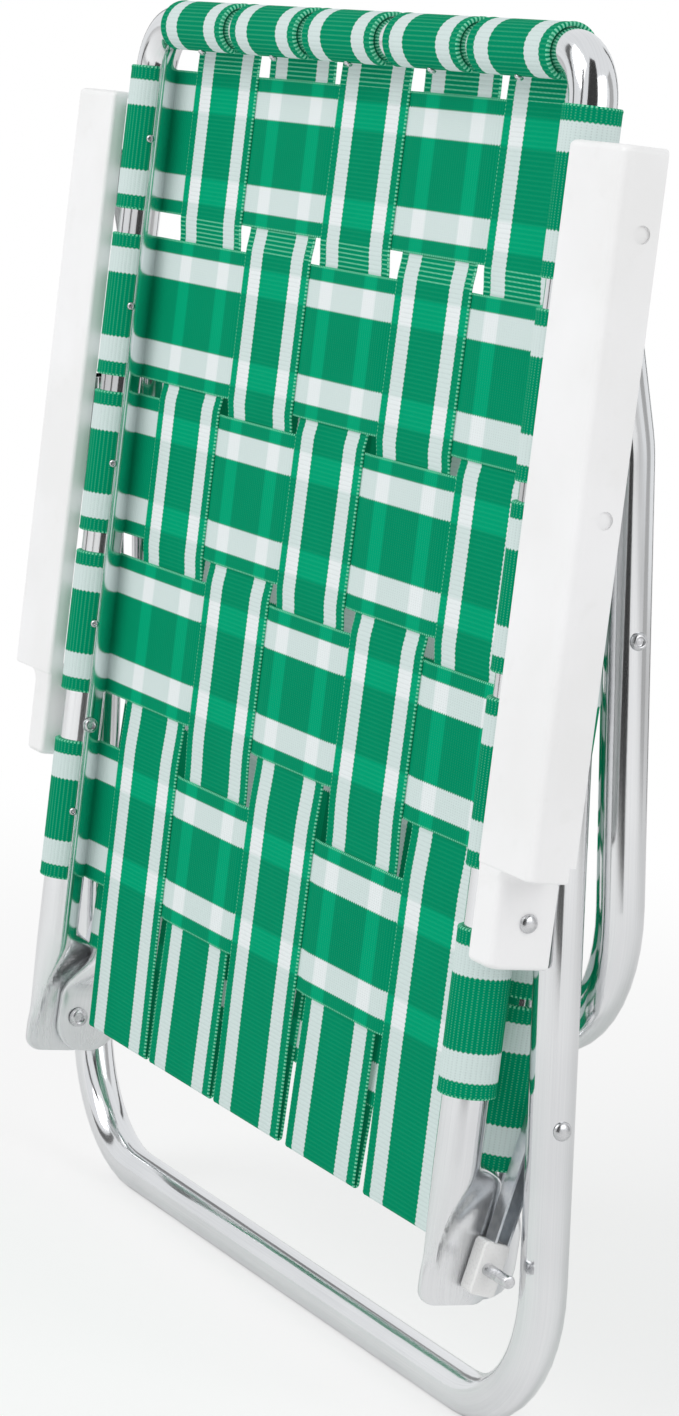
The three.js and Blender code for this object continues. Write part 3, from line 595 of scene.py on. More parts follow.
def loft(name, rings, pressed=None):
    """A closed skin over rings of points; pressed says how far each ring was flattened."""
    vertices = [point for points in rings for point in points]
    count = len(rings[0])
    faces = []
    runs = [0.0]
    for lower, upper in zip(rings, rings[1:]):
        runs.append(runs[-1] + max((u - v).length for u, v in zip(lower, upper)))
    for i in range(len(rings) - 1):
        for k in range(count):
            a, b = i * count + k, i * count + (k + 1) % count
            faces.append((a, b, b + count, a + count))
    faces.append(tuple(reversed(range(count))))
    faces.append(tuple(range(len(vertices) - count, len(vertices))))
    mesh = bpy.data.meshes.new(name)
    mesh.from_pydata(vertices, [], faces)
    run = mesh.uv_layers.new(name="Run")
    for face in mesh.polygons:
        sides = [mesh.loops[j].vertex_index % count for j in face.loop_indices]
        wraps = max(sides) - min(sides) > count / 2
        for j, side in zip(face.loop_indices, sides):
            turned = side + count if wraps and side == 0 else side
            run.data[j].uv = (turned / count * 2 * math.pi * TUBE_RADIUS,
                              runs[mesh.loops[j].vertex_index // count])
    face_outwards(mesh)
    for face in mesh.polygons:
        face.use_smooth = True
    mesh.set_sharp_from_angle(angle=SHARP_EDGE)
    if pressed:
        shares = mesh.attributes.new("pressed", "FLOAT", "POINT")
        shares.data.foreach_set("value", [share for share in pressed for _ in range(count)])
    return mesh


print("edges are sharp from", round(math.degrees(SHARP_EDGE)), "degrees")

# %% A path with rounded corners
BEND_STEPS = 12


def rounded_path(corners):
    """Places along a line whose corners, each a place and a radius, are rounded."""
    path = [corners[0][0]]
    for (before, _), (corner, radius), (after, _) in zip(corners, corners[1:], corners[2:]):
        back, ahead = (before - corner).normalized(), (after - corner).normalized()
        half = back.angle(ahead) / 2
        middle = corner + (back + ahead).normalized() * (radius / math.sin(half))
        start = corner + back * (radius / math.tan(half)) - middle
        end = corner + ahead * (radius / math.tan(half)) - middle
        sweep = math.pi - 2 * half
        count = max(3, round(BEND_STEPS * sweep / (math.pi / 2)))
        for s in range(count + 1):
            share = s / count
            path.append(middle + (start * math.sin((1 - share) * sweep) + end * math.sin(share * sweep))
                        / math.sin(sweep))
    path.append(corners[-1][0])
    return path


print("a square bend has", BEND_STEPS, "steps")

# %% Leg loops
LEG_BEND, LEG_KINK_RADIUS, LEG_END, HOLLOW_DEPTH = 0.072, 0.090, 0.006, 0.015
LEGS = {
    "rear_leg": {"kink": (BACK_Y + 0.0135, 0.335), "foot": (0.0, TUBE_RADIUS)},
    "front_leg": {"kink": (BACK_Y + 0.02617, 0.462), "foot": (BACK_Y + 0.06055, 0.186)},
}


def leg_rings(top, kink, foot):
    side = [Vector((LEG_HALF_SPAN, *point)) for point in (top, kink, foot)]
    mirror = [Vector((-p.x, p.y, p.z)) for p in reversed(side)]
    radii = [0, LEG_KINK_RADIUS, LEG_BEND, LEG_BEND, LEG_KINK_RADIUS, 0]
    path = rounded_path(list(zip(side + mirror, radii)))
    across = Vector((1, 0, 0))
    rings = []
    for i, point in enumerate(path):
        tangent = (path[min(i + 1, len(path) - 1)] - path[max(i - 1, 0)]).normalized()
        across = (across - tangent * across.dot(tangent)).normalized()
        deep = tangent.cross(across)
        rings.append((point, across, deep, tangent))
    outer = [ring(p, a, d, TUBE_RADIUS) for p, a, d, _ in rings]
    bore = TUBE_RADIUS - TUBE_WALL
    for index, way in ((0, 1), (-1, -1)):
        p, a, d, t = rings[index]
        lip = ring(p, a, d, bore)
        well = ring(p + t * (way * HOLLOW_DEPTH), a, d, bore)
        outer = [well, lip] + outer if index == 0 else outer + [lip, well]
    return outer


for leg, bends in LEGS.items():
    name, pivot = f"{leg}_loop_tube", pivots[f"{leg}_fold"].yz
    top = pivot + (pivot - Vector(bends["kink"])).normalized() * LEG_END
    skin = loft(name, leg_rings(top, bends["kink"], bends["foot"]))
    loop = new_piece(name, skin, ALUMINIUM)
    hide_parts(f"{leg}_loop")
    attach(loop, f"{leg}s")
    print(loop.name, len(loop.data.polygons), "faces")

# %% Back and seat frames
TAB_HALF_THICKNESS, TAB_HALF_WIDTH, TAB_POWER = 0.002, 0.0175, 8.0
CORNER_ANGLES = (4, 12, 25, 40, 58, 75, 90)
PRESS_STEPS = 34
PRESS_KEEP, PRESS_CURVE, PRESS_THIN = 0.6, 0.4, 0.55


def smooth(share):
    share = min(1.0, max(0.0, share))
    return share * share * (3 - 2 * share)


def mixed(first, second, share):
    return first + (second - first) * share


def pressed_ring(panel, side, length, half_width):
    tab = panel["tab"]
    points = []
    for (flat, deep), (full, _) in zip(section(TAB_POWER), section(2)):
        lean = max(0.0, (deep + PRESS_KEEP) / (1 + PRESS_KEEP)) ** PRESS_CURVE
        share = smooth((length - tab["flat_to"] - tab["slant"] * lean) / tab["rise"])
        thick = mixed(PRESS_THIN, 1.0, smooth((length - tab["flat_to"]) / (tab["slant"] + tab["rise"])))
        x = mixed(tab["out"] + TAB_HALF_THICKNESS * flat, TUBE_RADIUS * thick * full, share)
        depth = mixed(tab["depth"] + half_width * deep, TUBE_RADIUS * deep, share)
        points.append(panel["place"](side * (panel["half_span"] + x), depth, length))
    return points


def pressed_end(panel, side):
    tab = panel["tab"]
    rings = []
    for degrees in CORNER_ANGLES:
        angle = math.radians(degrees)
        length = tab["bottom"] + tab["corner"] * (1 - math.cos(angle))
        half_width = TAB_HALF_WIDTH - tab["corner"] * (1 - math.sin(angle))
        rings.append(pressed_ring(panel, side, length, half_width))
    square = tab["bottom"] + tab["corner"]
    for i in range(1, PRESS_STEPS + 1):
        length = mixed(square, tab["round_from"], i / PRESS_STEPS)
        rings.append(pressed_ring(panel, side, length, TAB_HALF_WIDTH))
    return rings


def pressed_share(panel, points):
    tab = panel["tab"]
    height = sum((p.z for p in points), 0.0) / len(points)
    return 1 - smooth((height - tab["flat_to"]) / (tab["round_from"] - tab["flat_to"]))


def frame_rings(panel):
    place, span, top = panel["place"], panel["half_span"], panel["top"]
    start = panel["tab"]["round_from"]
    corners = [((-span, start), 0), ((-span, top), panel["bend"]), ((span, top), panel["bend"]),
               ((span, start), 0)]
    path = rounded_path([(Vector((x, 0, z)), radius) for (x, z), radius in corners])
    deep, _ = ways(panel)
    bow = []
    for before, point, after in zip(path, path[1:], path[2:]):
        tangent = (after - before).normalized()
        outward = Vector((-tangent.z, 0, tangent.x))
        across = place(outward.x, 0, outward.z) - place(0, 0, 0)
        bow.append(ring(place(point.x, 0, point.z), across, deep, TUBE_RADIUS))
    return pressed_end(panel, -1) + bow + pressed_end(panel, 1)[::-1]


for panel in (BACK, SEAT):
    node = f"{panel['name']}_frame"
    rings = frame_rings(panel)
    skin = loft(f"{node}_tube", rings, [pressed_share(panel, points) for points in rings])
    tube = new_piece(f"{node}_tube", skin, ALUMINIUM)
    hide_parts(node)
    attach(tube, panel["name"])
    print(tube.name, len(tube.data.polygons), "faces")

# %% [markdown]
# ## Arms
# An arm is a moulded channel, open underneath, that narrows to a tongue at its rear end. Its section is
# one closed line: down the outer skirt, round both edges of the top, down the short inner skirt and back
# along the inside. Rings of that section, stacked from the tongue's end to the front, make the skin. Where
# the arm is solid the inside of the line lies flat against its foot. The shelf above the tongue has a
# hollow fillet below and a rounded edge above. Two shallow holes, in which the white rivet heads lie, are
# cut last.

# %% Arm sections
ARM_WIDTH, ARM_WALL, ARM_SKIRT, ARM_INNER_SKIRT = 0.050, 0.0027, 0.0213, 0.0085
ARM_SHELF, ARM_HOLLOW_FROM, ARM_NOTCH_TO, ARM_NOTCH = 0.2735, 0.277, 0.281, 0.0030
ARM_ROUND, ARM_INNER_ROUND, ARM_END_ROUND = 0.0050, 0.0025, 0.0030
SHELF_FILLET, SHELF_ROUND = 0.0060, 0.0015
TONGUE_WIDTH, TONGUE_CORE, TONGUE_LIP, TONGUE_WALL, TONGUE_SINK = 0.022, 0.025, 0.0302, 0.0014, 0.0009
RECESS_RADIUS, RECESS_DEPTH, RECESS_SHIFT = 0.0040, 0.0014, Vector((0, -0.0045, 0))
RECESSED = ("arm_middle_rivet", "arm_front_rivet")
SEAM = 0.0001
QUARTER = [math.radians(angle) for angle in (0, 15, 30, 45, 60, 75, 90)]
SIDES = {"right": 1, "left": -1}


def arm_section(inner, outer, top, outer_edge, inner_edge, roof, wall):
    points = [(outer, outer_edge)]
    for a in QUARTER:
        points.append((outer - ARM_ROUND * (1 - math.cos(a)), top + ARM_ROUND * (1 - math.sin(a))))
    for a in QUARTER:
        points.append((inner + ARM_INNER_ROUND * (1 - math.sin(a)),
                       top + ARM_INNER_ROUND * (1 - math.cos(a))))
    return points + [(inner, inner_edge), (inner + wall, inner_edge), (inner + wall, roof),
                     (outer - wall, roof), (outer - wall, outer_edge)]


def arm_sections(low, high):
    """The stack of (height, section), from the tongue's end up, for an arm on the right."""
    outer, inner, top = high.x, high.x - ARM_WIDTH, low.y
    tongue, sunk_top = inner + TONGUE_WIDTH, low.y + TONGUE_SINK
    lip, core = top + TONGUE_LIP, top + TONGUE_CORE
    skirt, notch = top + ARM_SKIRT, top + ARM_SKIRT - ARM_NOTCH
    hollow = (top + ARM_INNER_SKIRT, top + ARM_WALL, ARM_WALL)

    def solid_to(edge):
        return edge, edge - SEAM, ARM_WALL

    tongue_foot = (lip, core, core - SEAM, TONGUE_WALL)
    stack = []
    for a in reversed(QUARTER):
        inset = ARM_END_ROUND * (1 - math.cos(a))
        rim = arm_section(inner + inset, tongue - inset, sunk_top + inset, *tongue_foot)
        stack.append((low.z + ARM_END_ROUND * (1 - math.sin(a)), rim))
    for a in QUARTER:
        wide = tongue + SHELF_FILLET * (1 - math.cos(a))
        face = mixed(sunk_top, top, 0.5 * math.sin(a))
        foot = (mixed(lip, core, math.sin(a)), core, core - SEAM, TONGUE_WALL)
        stack.append((ARM_SHELF - SHELF_FILLET * (1 - math.sin(a)), arm_section(inner, wide, face, *foot)))
    for a in QUARTER:
        wide = outer - SHELF_ROUND * (1 - math.sin(a))
        face = mixed(sunk_top, top, 0.5 + 0.5 * math.sin(a))
        level = ARM_SHELF + SHELF_ROUND * (1 - math.cos(a))
        stack.append((level, arm_section(inner, wide, face, notch, *solid_to(notch))))
    for level, edge, inside in ((ARM_HOLLOW_FROM, notch, solid_to(notch)), (ARM_HOLLOW_FROM, notch, hollow),
                                (ARM_NOTCH_TO, notch, hollow), (ARM_NOTCH_TO, skirt, hollow),
                                (high.z - ARM_END_ROUND, skirt, hollow)):
        stack.append((level, arm_section(inner, outer, top, edge, *inside)))
    for a in QUARTER:
        inset = ARM_END_ROUND * (1 - math.cos(a))
        rim = arm_section(inner + inset, outer - inset, top + inset, skirt, *solid_to(skirt))
        stack.append((high.z - ARM_END_ROUND * (1 - math.sin(a)), rim))
    return stack


print(len(arm_sections(*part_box("arm_right"))), "sections in an arm")

# %% Arms
def settled(name, mesh, modifiers, inputs=None):
    """A plain mesh with the modifiers worked in; inputs go to a node tree, by their identifiers."""
    maker = set_down(name + "_maker", mesh)
    for kind, settings in modifiers:
        modifier = maker.modifiers.new(kind, kind)
        for key, value in settings.items():
            setattr(modifier, key, value)
        for identifier, value in (inputs or {}).items():
            modifier[identifier] = value
    made = bpy.data.meshes.new_from_object(maker.evaluated_get(bpy.context.evaluated_depsgraph_get()))
    bpy.data.objects.remove(maker)
    made.name = name
    return made


def pin(name, sign, at, profile):
    """A turned piece on an axis along X, through (distance from the chair's middle, radius) places."""
    ways = Vector((0, 1, 0)), Vector((0, 0, 1))
    return loft(name, [ring(Vector((sign * x, at.y, at.z)), *ways, radius) for x, radius in profile])


def recess_cutter(name, sign, high):
    form = bmesh.new()
    depth = [(high.x - RECESS_DEPTH, RECESS_RADIUS), (high.x + RECESS_DEPTH, RECESS_RADIUS)]
    for node in RECESSED:
        form.from_mesh(pin(name, sign, middle_of(f"{node}_right") + RECESS_SHIFT, depth))
    return set_down(name, mesh_of(name, form))


for side, sign in SIDES.items():
    low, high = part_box("arm_right")
    name = f"moulded_arm_{side}"
    rings = [[Vector((sign * x, y, z)) for x, y in points] for z, points in arm_sections(low, high)]
    skin = loft(name, rings)
    cutter = recess_cutter(f"recesses_{side}", sign, high)
    mesh = settled(name, skin, [("BOOLEAN", {"object": cutter, "solver": "EXACT"}),
                                ("WEIGHTED_NORMAL", {"keep_sharp": True})])
    bpy.data.objects.remove(cutter)
    arm = new_piece(name, mesh, ARM_PLASTIC)
    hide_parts(f"arm_{side}")
    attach(arm, "arms")
    print(arm.name, len(arm.data.polygons), "faces")

# %% [markdown]
# ## Links and pivot blocks
# A link is a strip of metal folded to a narrow channel, open towards the leg and round at its top. It
# stands on a nylon block that turns on the pivot bolt. Both are rings of points in the link's own
# coordinates: x across the chair, width towards the seat and length up from the pivot bolt.

# %% Links and pivot blocks
LINK_SIDES, LINK_WALL, LINK_ROUND, LINK_END = (-0.0010, 0.0070), 0.0012, 0.0012, 0.0075
BLOCK_SIDES, BLOCK_HALF_LENGTH, BLOCK_ROUND, BLOCK_EDGE = (-0.0055, 0.0080), 0.0125, 0.0022, 0.0007
LINK_FOOT = pivots["link_fold"]
LINK_WAY = middle_of("link_stub_right") - LINK_FOOT
LINK_WAY.x = 0
LINK_LENGTH = LINK_WAY.length
LINK_WAY.normalize()
LINK_ACROSS = Vector((0, LINK_WAY.z, -LINK_WAY.y))


def on_link(x, width, length):
    return Vector((x, LINK_FOOT.y, LINK_FOOT.z)) + LINK_ACROSS * width + LINK_WAY * length


def channel(inner, outer, near, far):
    """The folded strip's section in (x, width): out along one side, round the back, and back inside."""
    points = [(outer, near)]
    for a in reversed(QUARTER):
        points.append((inner + LINK_ROUND * (1 - math.cos(a)), near + LINK_ROUND * (1 - math.sin(a))))
    for a in QUARTER:
        points.append((inner + LINK_ROUND * (1 - math.cos(a)), far - LINK_ROUND * (1 - math.sin(a))))
    return points + [(outer, far), (outer, far - LINK_WALL), (inner + LINK_WALL, far - LINK_WALL),
                     (inner + LINK_WALL, near + LINK_WALL), (outer, near + LINK_WALL)]


def link_rings(sign, low, high):
    near, far = LINK_SIDES
    top, end_round = LINK_LENGTH + LINK_END, (far - near) / 2 - LINK_WALL - SEAM
    levels = [(BLOCK_HALF_LENGTH, 0.0)]
    levels += [(top - end_round * (1 - math.sin(a)), end_round * (1 - math.cos(a))) for a in QUARTER]
    return [[on_link(sign * x, w, length) for x, w in channel(low.x, high.x, near + inset, far - inset)]
            for length, inset in levels]


def block_ring(sign, x, inset):
    near, far = BLOCK_SIDES
    half, reach, points = BLOCK_HALF_LENGTH - BLOCK_ROUND, BLOCK_ROUND - inset, []
    for turn in range(4):
        corner = turn * math.pi / 2
        side = far if math.cos(corner + math.pi / 4) > 0 else near
        middle = side - math.copysign(BLOCK_ROUND, side)
        level = math.copysign(half, math.sin(corner + math.pi / 4))
        for a in QUARTER:
            width = middle + reach * math.cos(a + corner)
            points.append(on_link(sign * x, width, level + reach * math.sin(a + corner)))
    return points


for side, sign in SIDES.items():
    low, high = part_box("link_right")
    edges = [(low.x, BLOCK_EDGE), (low.x + BLOCK_EDGE, 0.0), (high.x - BLOCK_EDGE, 0.0), (high.x, BLOCK_EDGE)]
    block_rings = [block_ring(sign, x, inset) for x, inset in edges]
    for name, node, rings, material, slot in (
            (f"channel_link_{side}", f"link_{side}", link_rings(sign, low, high), LINK_METAL, "tube"),
            (f"pivot_block_{side}", f"link_block_{side}", block_rings, NYLON, "nylon")):
        piece = new_piece(name, loft(name, rings), material)
        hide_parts(node)
        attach(piece, "links")
        print(piece.name, len(piece.data.polygons), "faces")

# %% [markdown]
# ## Pins
# Bolts, bushes and the long rivets are turned on an axis across the chair, so each is a list of places
# along that axis with a radius at each. Their inner ends are rolled over, which leaves a ring round a
# hollow, and one profile, in shares of the roll's size and of the rim's radius, serves them all.

# %% Turned pins
PIN_RADIUS, ROLL = 0.0030, 0.0009
ROLLED_PROFILE = [(2, 0), (2, 0.40), (1 / 3, 0.48), (0, 0.60), (1 / 3, 0.76), (1, 0.84), (1, 0.97), (1.5, 1),
                  (2, 1)]
REAR_RIVET_RIM, BOLT_RIM, BUSH_RIM = 0.0042, 0.0054, 0.0048
REAR_HEAD_RADIUS, REAR_HEAD_HEIGHT = 0.0044, 0.0024
BOLT_TIP = [(0.001, 1.0), (0.0003, 0.9), (0.0, 0.7)]
STUB_HEAD_RADIUS, STUB_HEAD_EDGE = 0.005, 0.001
BUSH_RADIUS, BUSH_EDGE, BUSH_CLEARANCE = 0.0075, 0.0006, 0.0005


def dome(seat, radius, height):
    return [(seat + height * math.sin(a), max(radius * math.cos(a), SEAM)) for a in QUARTER]


def rolled_end(end, rim):
    """From the middle of a hollow out over its ring and back to the shank, facing the chair's middle."""
    profile = [(end + depth * ROLL, max(rim * share, SEAM)) for depth, share in ROLLED_PROFILE]
    return profile + [(profile[-1][0], PIN_RADIUS)]


def pin_pair(node, material, profile_of):
    low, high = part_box(f"{node}_right")
    for side, sign in SIDES.items():
        name = f"turned_{node}_{side}"
        mesh = pin(name, sign, middle_of(f"{node}_right"), profile_of(low.x, high.x))
        piece = new_piece(name, mesh, material)
        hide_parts(f"{node}_{side}")
        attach(piece, frame["nodes"][f"{node}_{side}"]["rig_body"])
        print(piece.name, len(mesh.polygons), "faces")


def arm_rear_rivet(low, high):
    head = dome(high - REAR_HEAD_HEIGHT, REAR_HEAD_RADIUS, REAR_HEAD_HEIGHT)
    return rolled_end(low, REAR_RIVET_RIM) + [(head[0][0], PIN_RADIUS)] + head


def pivot_bolt(low, high):
    tail = [(high - back, PIN_RADIUS * share) for back, share in BOLT_TIP]
    return rolled_end(low, BOLT_RIM) + tail + [(high, SEAM)]


def link_stub(low, high):
    edge = low + STUB_HEAD_EDGE
    return [(low, SEAM), (low, STUB_HEAD_RADIUS - STUB_HEAD_EDGE), (edge, STUB_HEAD_RADIUS),
            (edge, PIN_RADIUS), (high, PIN_RADIUS), (high, SEAM)]


def seat_bush(low, high):
    foot, narrow = SEAT["half_span"] + TUBE_RADIUS + BUSH_CLEARANCE, BUSH_RADIUS - BUSH_EDGE
    return rolled_end(low, BUSH_RIM) + [
        (foot, PIN_RADIUS), (foot, narrow), (foot + BUSH_EDGE, BUSH_RADIUS), (high - BUSH_EDGE, BUSH_RADIUS),
        (high, narrow), (high, SEAM)]


pin_pair("arm_rear_rivet", STEEL, arm_rear_rivet)
pin_pair("pivot_bolt", STEEL, pivot_bolt)
pin_pair("link_stub", STEEL, link_stub)
pin_pair("seat_bush", NYLON, seat_bush)

# %% [markdown]
# ## Rivet heads
# A rivet head is a low dome, hollow in the middle on some, the same at each joint but for its size, and
# each strap end has a small one. On the legs and straps they are steel, and in the arms' holes flat and
# white. Geometry Nodes suit what repeats: a mesh of bare points says where each head sits and an attribute
# says which way it faces, and the tree sets a head on each point. The tree's sizes are named inputs, so
# one tree serves every rivet. Its result is turned into a plain mesh, one for each body of the chair.

# %% The tree for heads
HEAD_SIDES, HEAD_CIRCLES, HEAD_FOOT = 32, 12, 0.0002
DOME_FULLNESS, HOLLOW_EDGE = 0.98, (0.38, 0.60)


def new_tree(name, sizes):
    tree = bpy.data.node_groups.new(name, "GeometryNodeTree")
    tree.interface.new_socket("Geometry", in_out="INPUT", socket_type="NodeSocketGeometry")
    for size, value in sizes.items():
        socket = tree.interface.new_socket(size, in_out="INPUT", socket_type="NodeSocketFloat")
        socket.default_value = value
    tree.interface.new_socket("Geometry", in_out="OUTPUT", socket_type="NodeSocketGeometry")
    start = tree.nodes.new("NodeGroupInput")
    return Wire(tree), {socket.name: Wire(tree, socket) for socket in start.outputs}


def set_on_points(start, points, head, material):
    facing = start.node("GeometryNodeInputNamedAttribute", {"data_type": "FLOAT_VECTOR"}, {"Name": "facing"})
    turn = start.node("FunctionNodeAlignRotationToVector", {"axis": "Z"}, {"Vector": facing})
    placed = start.node("GeometryNodeInstanceOnPoints", {},
                        {"Points": points, "Instance": head, "Rotation": turn})
    real = start.node("GeometryNodeRealizeInstances", {}, {"Geometry": placed})
    smoothed = start.node("GeometryNodeSetShadeSmooth", {}, {"Geometry": real, "Shade Smooth": True})
    done = start.node("GeometryNodeSetMaterial", {}, {"Geometry": smoothed, "Material": material})
    start.node("NodeGroupOutput", {}, {"Geometry": done})


LEG_HEAD = {"Head Radius": 0.0045, "Head Height": 0.0026, "Hollow": 0.0}


def rivet_tree():
    start, sizes = new_tree("rivet_heads", LEG_HEAD)
    radius, height, hollow = sizes["Head Radius"], sizes["Head Height"], sizes["Hollow"]
    button = start.node("GeometryNodeMeshCylinder", {"fill_type": "TRIANGLE_FAN"}, {
        "Vertices": HEAD_SIDES, "Side Segments": 1, "Fill Segments": HEAD_CIRCLES, "Radius": radius,
        "Depth": HEAD_FOOT})
    place = start.node("GeometryNodeInputPosition")
    x, y, z = (place.part(axis) for axis in range(3))
    out = start.math("SQRT", x * x + y * y) / radius
    dome_share = start.math("SQRT", start.math("MAXIMUM", 1 - out * out * DOME_FULLNESS, 0.0))
    sunk_share = dome_share - (1 - out.step(*HOLLOW_EDGE)) * hollow
    lift = start.math("GREATER_THAN", z, 0.0) * sunk_share * height
    up = start.node("ShaderNodeCombineXYZ", {}, {"Z": lift})
    domed = start.node("GeometryNodeSetPosition", {}, {"Geometry": button, "Offset": up})
    set_on_points(start, sizes["Geometry"], domed, STEEL)
    return start.tree


RIVET_TREE = rivet_tree()
print("tree:", RIVET_TREE.name)

# %% Rivet heads on legs and arms
def heads(name, sizes, places, body, nodes=(), material=STEEL):
    cloud = bpy.data.meshes.new(name)
    cloud.from_pydata([point for point, _ in places], [], [])
    facing = cloud.attributes.new("facing", "FLOAT_VECTOR", "POINT")
    for entry, (_, way) in zip(facing.data, places):
        entry.vector = way
    inputs = {socket.identifier: sizes[socket.name] for socket in RIVET_TREE.interface.items_tree
              if socket.name in sizes and socket.in_out == "INPUT"}
    mesh = settled(name, cloud, [("NODES", {"node_group": RIVET_TREE})], inputs)
    piece = new_piece(name, mesh, material)
    if nodes:
        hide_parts(*nodes)
    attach(piece, body)
    print(name, len(places), "heads,", len(mesh.polygons), "faces")


HOLLOW_HEAD = {"Head Radius": 0.0042, "Head Height": 0.0026, "Hollow": 0.55}
ARM_HEAD = {"Head Radius": 0.0039, "Head Height": 0.0003, "Hollow": 0.0}
HEAD_SUNK, ARM_HEAD_SUNK = 0.0030, 0.0013


def rivet_places(node, sunk, shift=Vector()):
    places = []
    for side, sign in SIDES.items():
        middle = middle_of(f"{node}_{side}") + shift
        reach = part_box(f"{node}_right")[1].x - sunk
        places.append((Vector((sign * reach, middle.y, middle.z)), Vector((sign, 0, 0))))
    return places


def pair(node):
    return [f"{node}_right", f"{node}_left"]


arm_places = [place for node in RECESSED for place in rivet_places(node, ARM_HEAD_SUNK, RECESS_SHIFT)]
heads("arm_rivets", ARM_HEAD, arm_places, "arms", [name for node in RECESSED for name in pair(node)], NYLON)
for leg, head in (("front_leg", HOLLOW_HEAD), ("rear_leg", LEG_HEAD)):
    node = f"{leg}_rivet"
    heads(f"{node}s", head, rivet_places(node, HEAD_SUNK), f"{leg}s", pair(node))

# %% [markdown]
# ## Straps
# A strap is a flat ribbon with a slightly thicker selvage along both edges. At its ends it goes round
# the tube, folded double under a small hollow rivet. The ribbon is a row of cross sections along a path:
# straight over the tubes, lifted over or under each strap that it crosses, and round the tube at the
# ends. Each cross strap belongs to one frame. A long strap runs down the back, folds at the pivot and
# runs up the seat, all in one ribbon.

# %% Ribbon
HALF_THICK, HALF_DOUBLE = 0.00050, 0.00095
SECTION = [(-1.0, 0.35), (-0.992, 0.95), (-0.972, 1.22), (-0.945, 1.0)] + [
    (w / 5, 1.0) for w in range(-4, 5)] + [(0.945, 1.0), (0.972, 1.22), (0.992, 0.95), (1.0, 0.35)]


def ribbon(name, stations):
    """A closed ribbon through the stations, with its two UV maps; also gives the length along it."""
    outline = SECTION + [(w, -h) for w, h in reversed(SECTION)]
    count = len(outline)
    vertices, faces, strap_uv, behind_uv = [], [], [], []
    run = [0.0]
    for before, after in zip(stations, stations[1:]):
        run.append(run[-1] + (after["middle"] - before["middle"]).length)
    for s in stations:
        for w, h in outline:
            vertices.append(s["middle"] + s["across"] * (w * STRAP_WIDTH / 2) + s["normal"] * (h * s["half"]))
    for i in range(len(stations) - 1):
        here, there = stations[i], stations[i + 1]
        shared = here["out"] == there["in"] and here["out"] is not None
        backlight = min(here["backlight"], there["backlight"])
        for k in range(count):
            n = (k + 1) % count
            faces.append((i * count + k, i * count + n, (i + 1) * count + n, (i + 1) * count + k))
            for j, index in ((i, k), (i, n), (i + 1, n), (i + 1, k)):
                strap_uv.append(((outline[index][0] + 1) / 2, run[j] / STRAP_WIDTH))
                behind_uv.append((stations[j]["covered"], 0.0) if shared else (-1.0, backlight))
    for i, order in ((0, range(count - 1, -1, -1)), (len(stations) - 1, range(count))):
        faces.append(tuple(i * count + k for k in order))
        for k in order:
            strap_uv.append(((outline[k][0] + 1) / 2, run[i] / STRAP_WIDTH))
            behind_uv.append((-1.0, 0.0))
    mesh = bpy.data.meshes.new(name)
    mesh.from_pydata(vertices, [], faces)
    for layer, values in (("Strap", strap_uv), ("Behind", behind_uv)):
        uv = mesh.uv_layers.new(name=layer)
        uv.data.foreach_set("uv", [number for value in values for number in value])
    for face in mesh.polygons:
        face.use_smooth = len(face.vertices) == 4
    face_outwards(mesh)
    return new_piece(name, mesh, WEBBING), run[-1]


print(len(SECTION) * 2, "points in a strap's section")

# %% The way of a strap
PANEL_DEPTH, WRAP_RADIUS = 0.01195, 0.01240
WRAP_SWEEP, WRAP_STEPS, WRAP_SWELL = math.radians(255), 44, math.radians(24)
# How much painted light shows through the pores on a strap's wrapped ends, and on long straps above this
# height.
WRAP_BACKLIGHT, BACKLIT_ABOVE = 0.18, 0.505
END_TAPER = (1.0, 0.8, 0.45)
WEAVE_LIFT, STEP_LENGTH = 0.00062, 0.004


def station(middle, across, normal, half, backlight=0.0, crossing=(None, None), covered=-1.0):
    return {"middle": middle, "across": across, "normal": normal.normalized(), "half": half,
            "backlight": backlight, "in": crossing[0], "out": crossing[1], "covered": covered}


def wrap(across, start, depth_way, out_way):
    """The strap's end, round the tube at start: it swells to the doubled thickness and tapers at its end."""
    stations = []
    for i in range(1, WRAP_STEPS + 1):
        angle = WRAP_SWEEP * i / WRAP_STEPS
        swell = smooth(min(1.0, angle / WRAP_SWELL))
        radius = mixed(PANEL_DEPTH, WRAP_RADIUS, swell)
        half = mixed(HALF_THICK, HALF_DOUBLE, swell) * END_TAPER[max(0, i + 2 - WRAP_STEPS)]
        way = depth_way * math.cos(angle) + out_way * math.sin(angle)
        stations.append(station(start + way * radius, across, way, half, WRAP_BACKLIGHT))
    return stations


def woven_run(start, end, crossings):
    """Places from start to end with the lift at each: crossings are (middle, lift), in rising order."""
    half = STRAP_WIDTH / 2
    knots = [(start, 0.0)]
    for middle, lift in crossings:
        knots += [(middle - half, lift), (middle + half, lift)]
    knots.append((end, 0.0))
    run = []
    for number, ((a, lift_a), (b, lift_b)) in enumerate(zip(knots, knots[1:])):
        crossing = (number - 1) // 2 if number % 2 == 1 else None
        steps = max(3, math.ceil((b - a) / STEP_LENGTH))
        for i in range(steps):
            share = i / steps
            run.append((mixed(a, b, share), mixed(lift_a, lift_b, smooth(share)), crossing))
    run.append((end, 0.0, None))
    return run


def covered_by(place, crossings, crossing):
    if crossing is None:
        return -1.0
    return (place - crossings[crossing][0]) / STRAP_WIDTH + 0.5


def lift_of(column, row, sign):
    return sign * WEAVE_LIFT * (1 if (column + 1 + row) % 2 == 0 else -1)


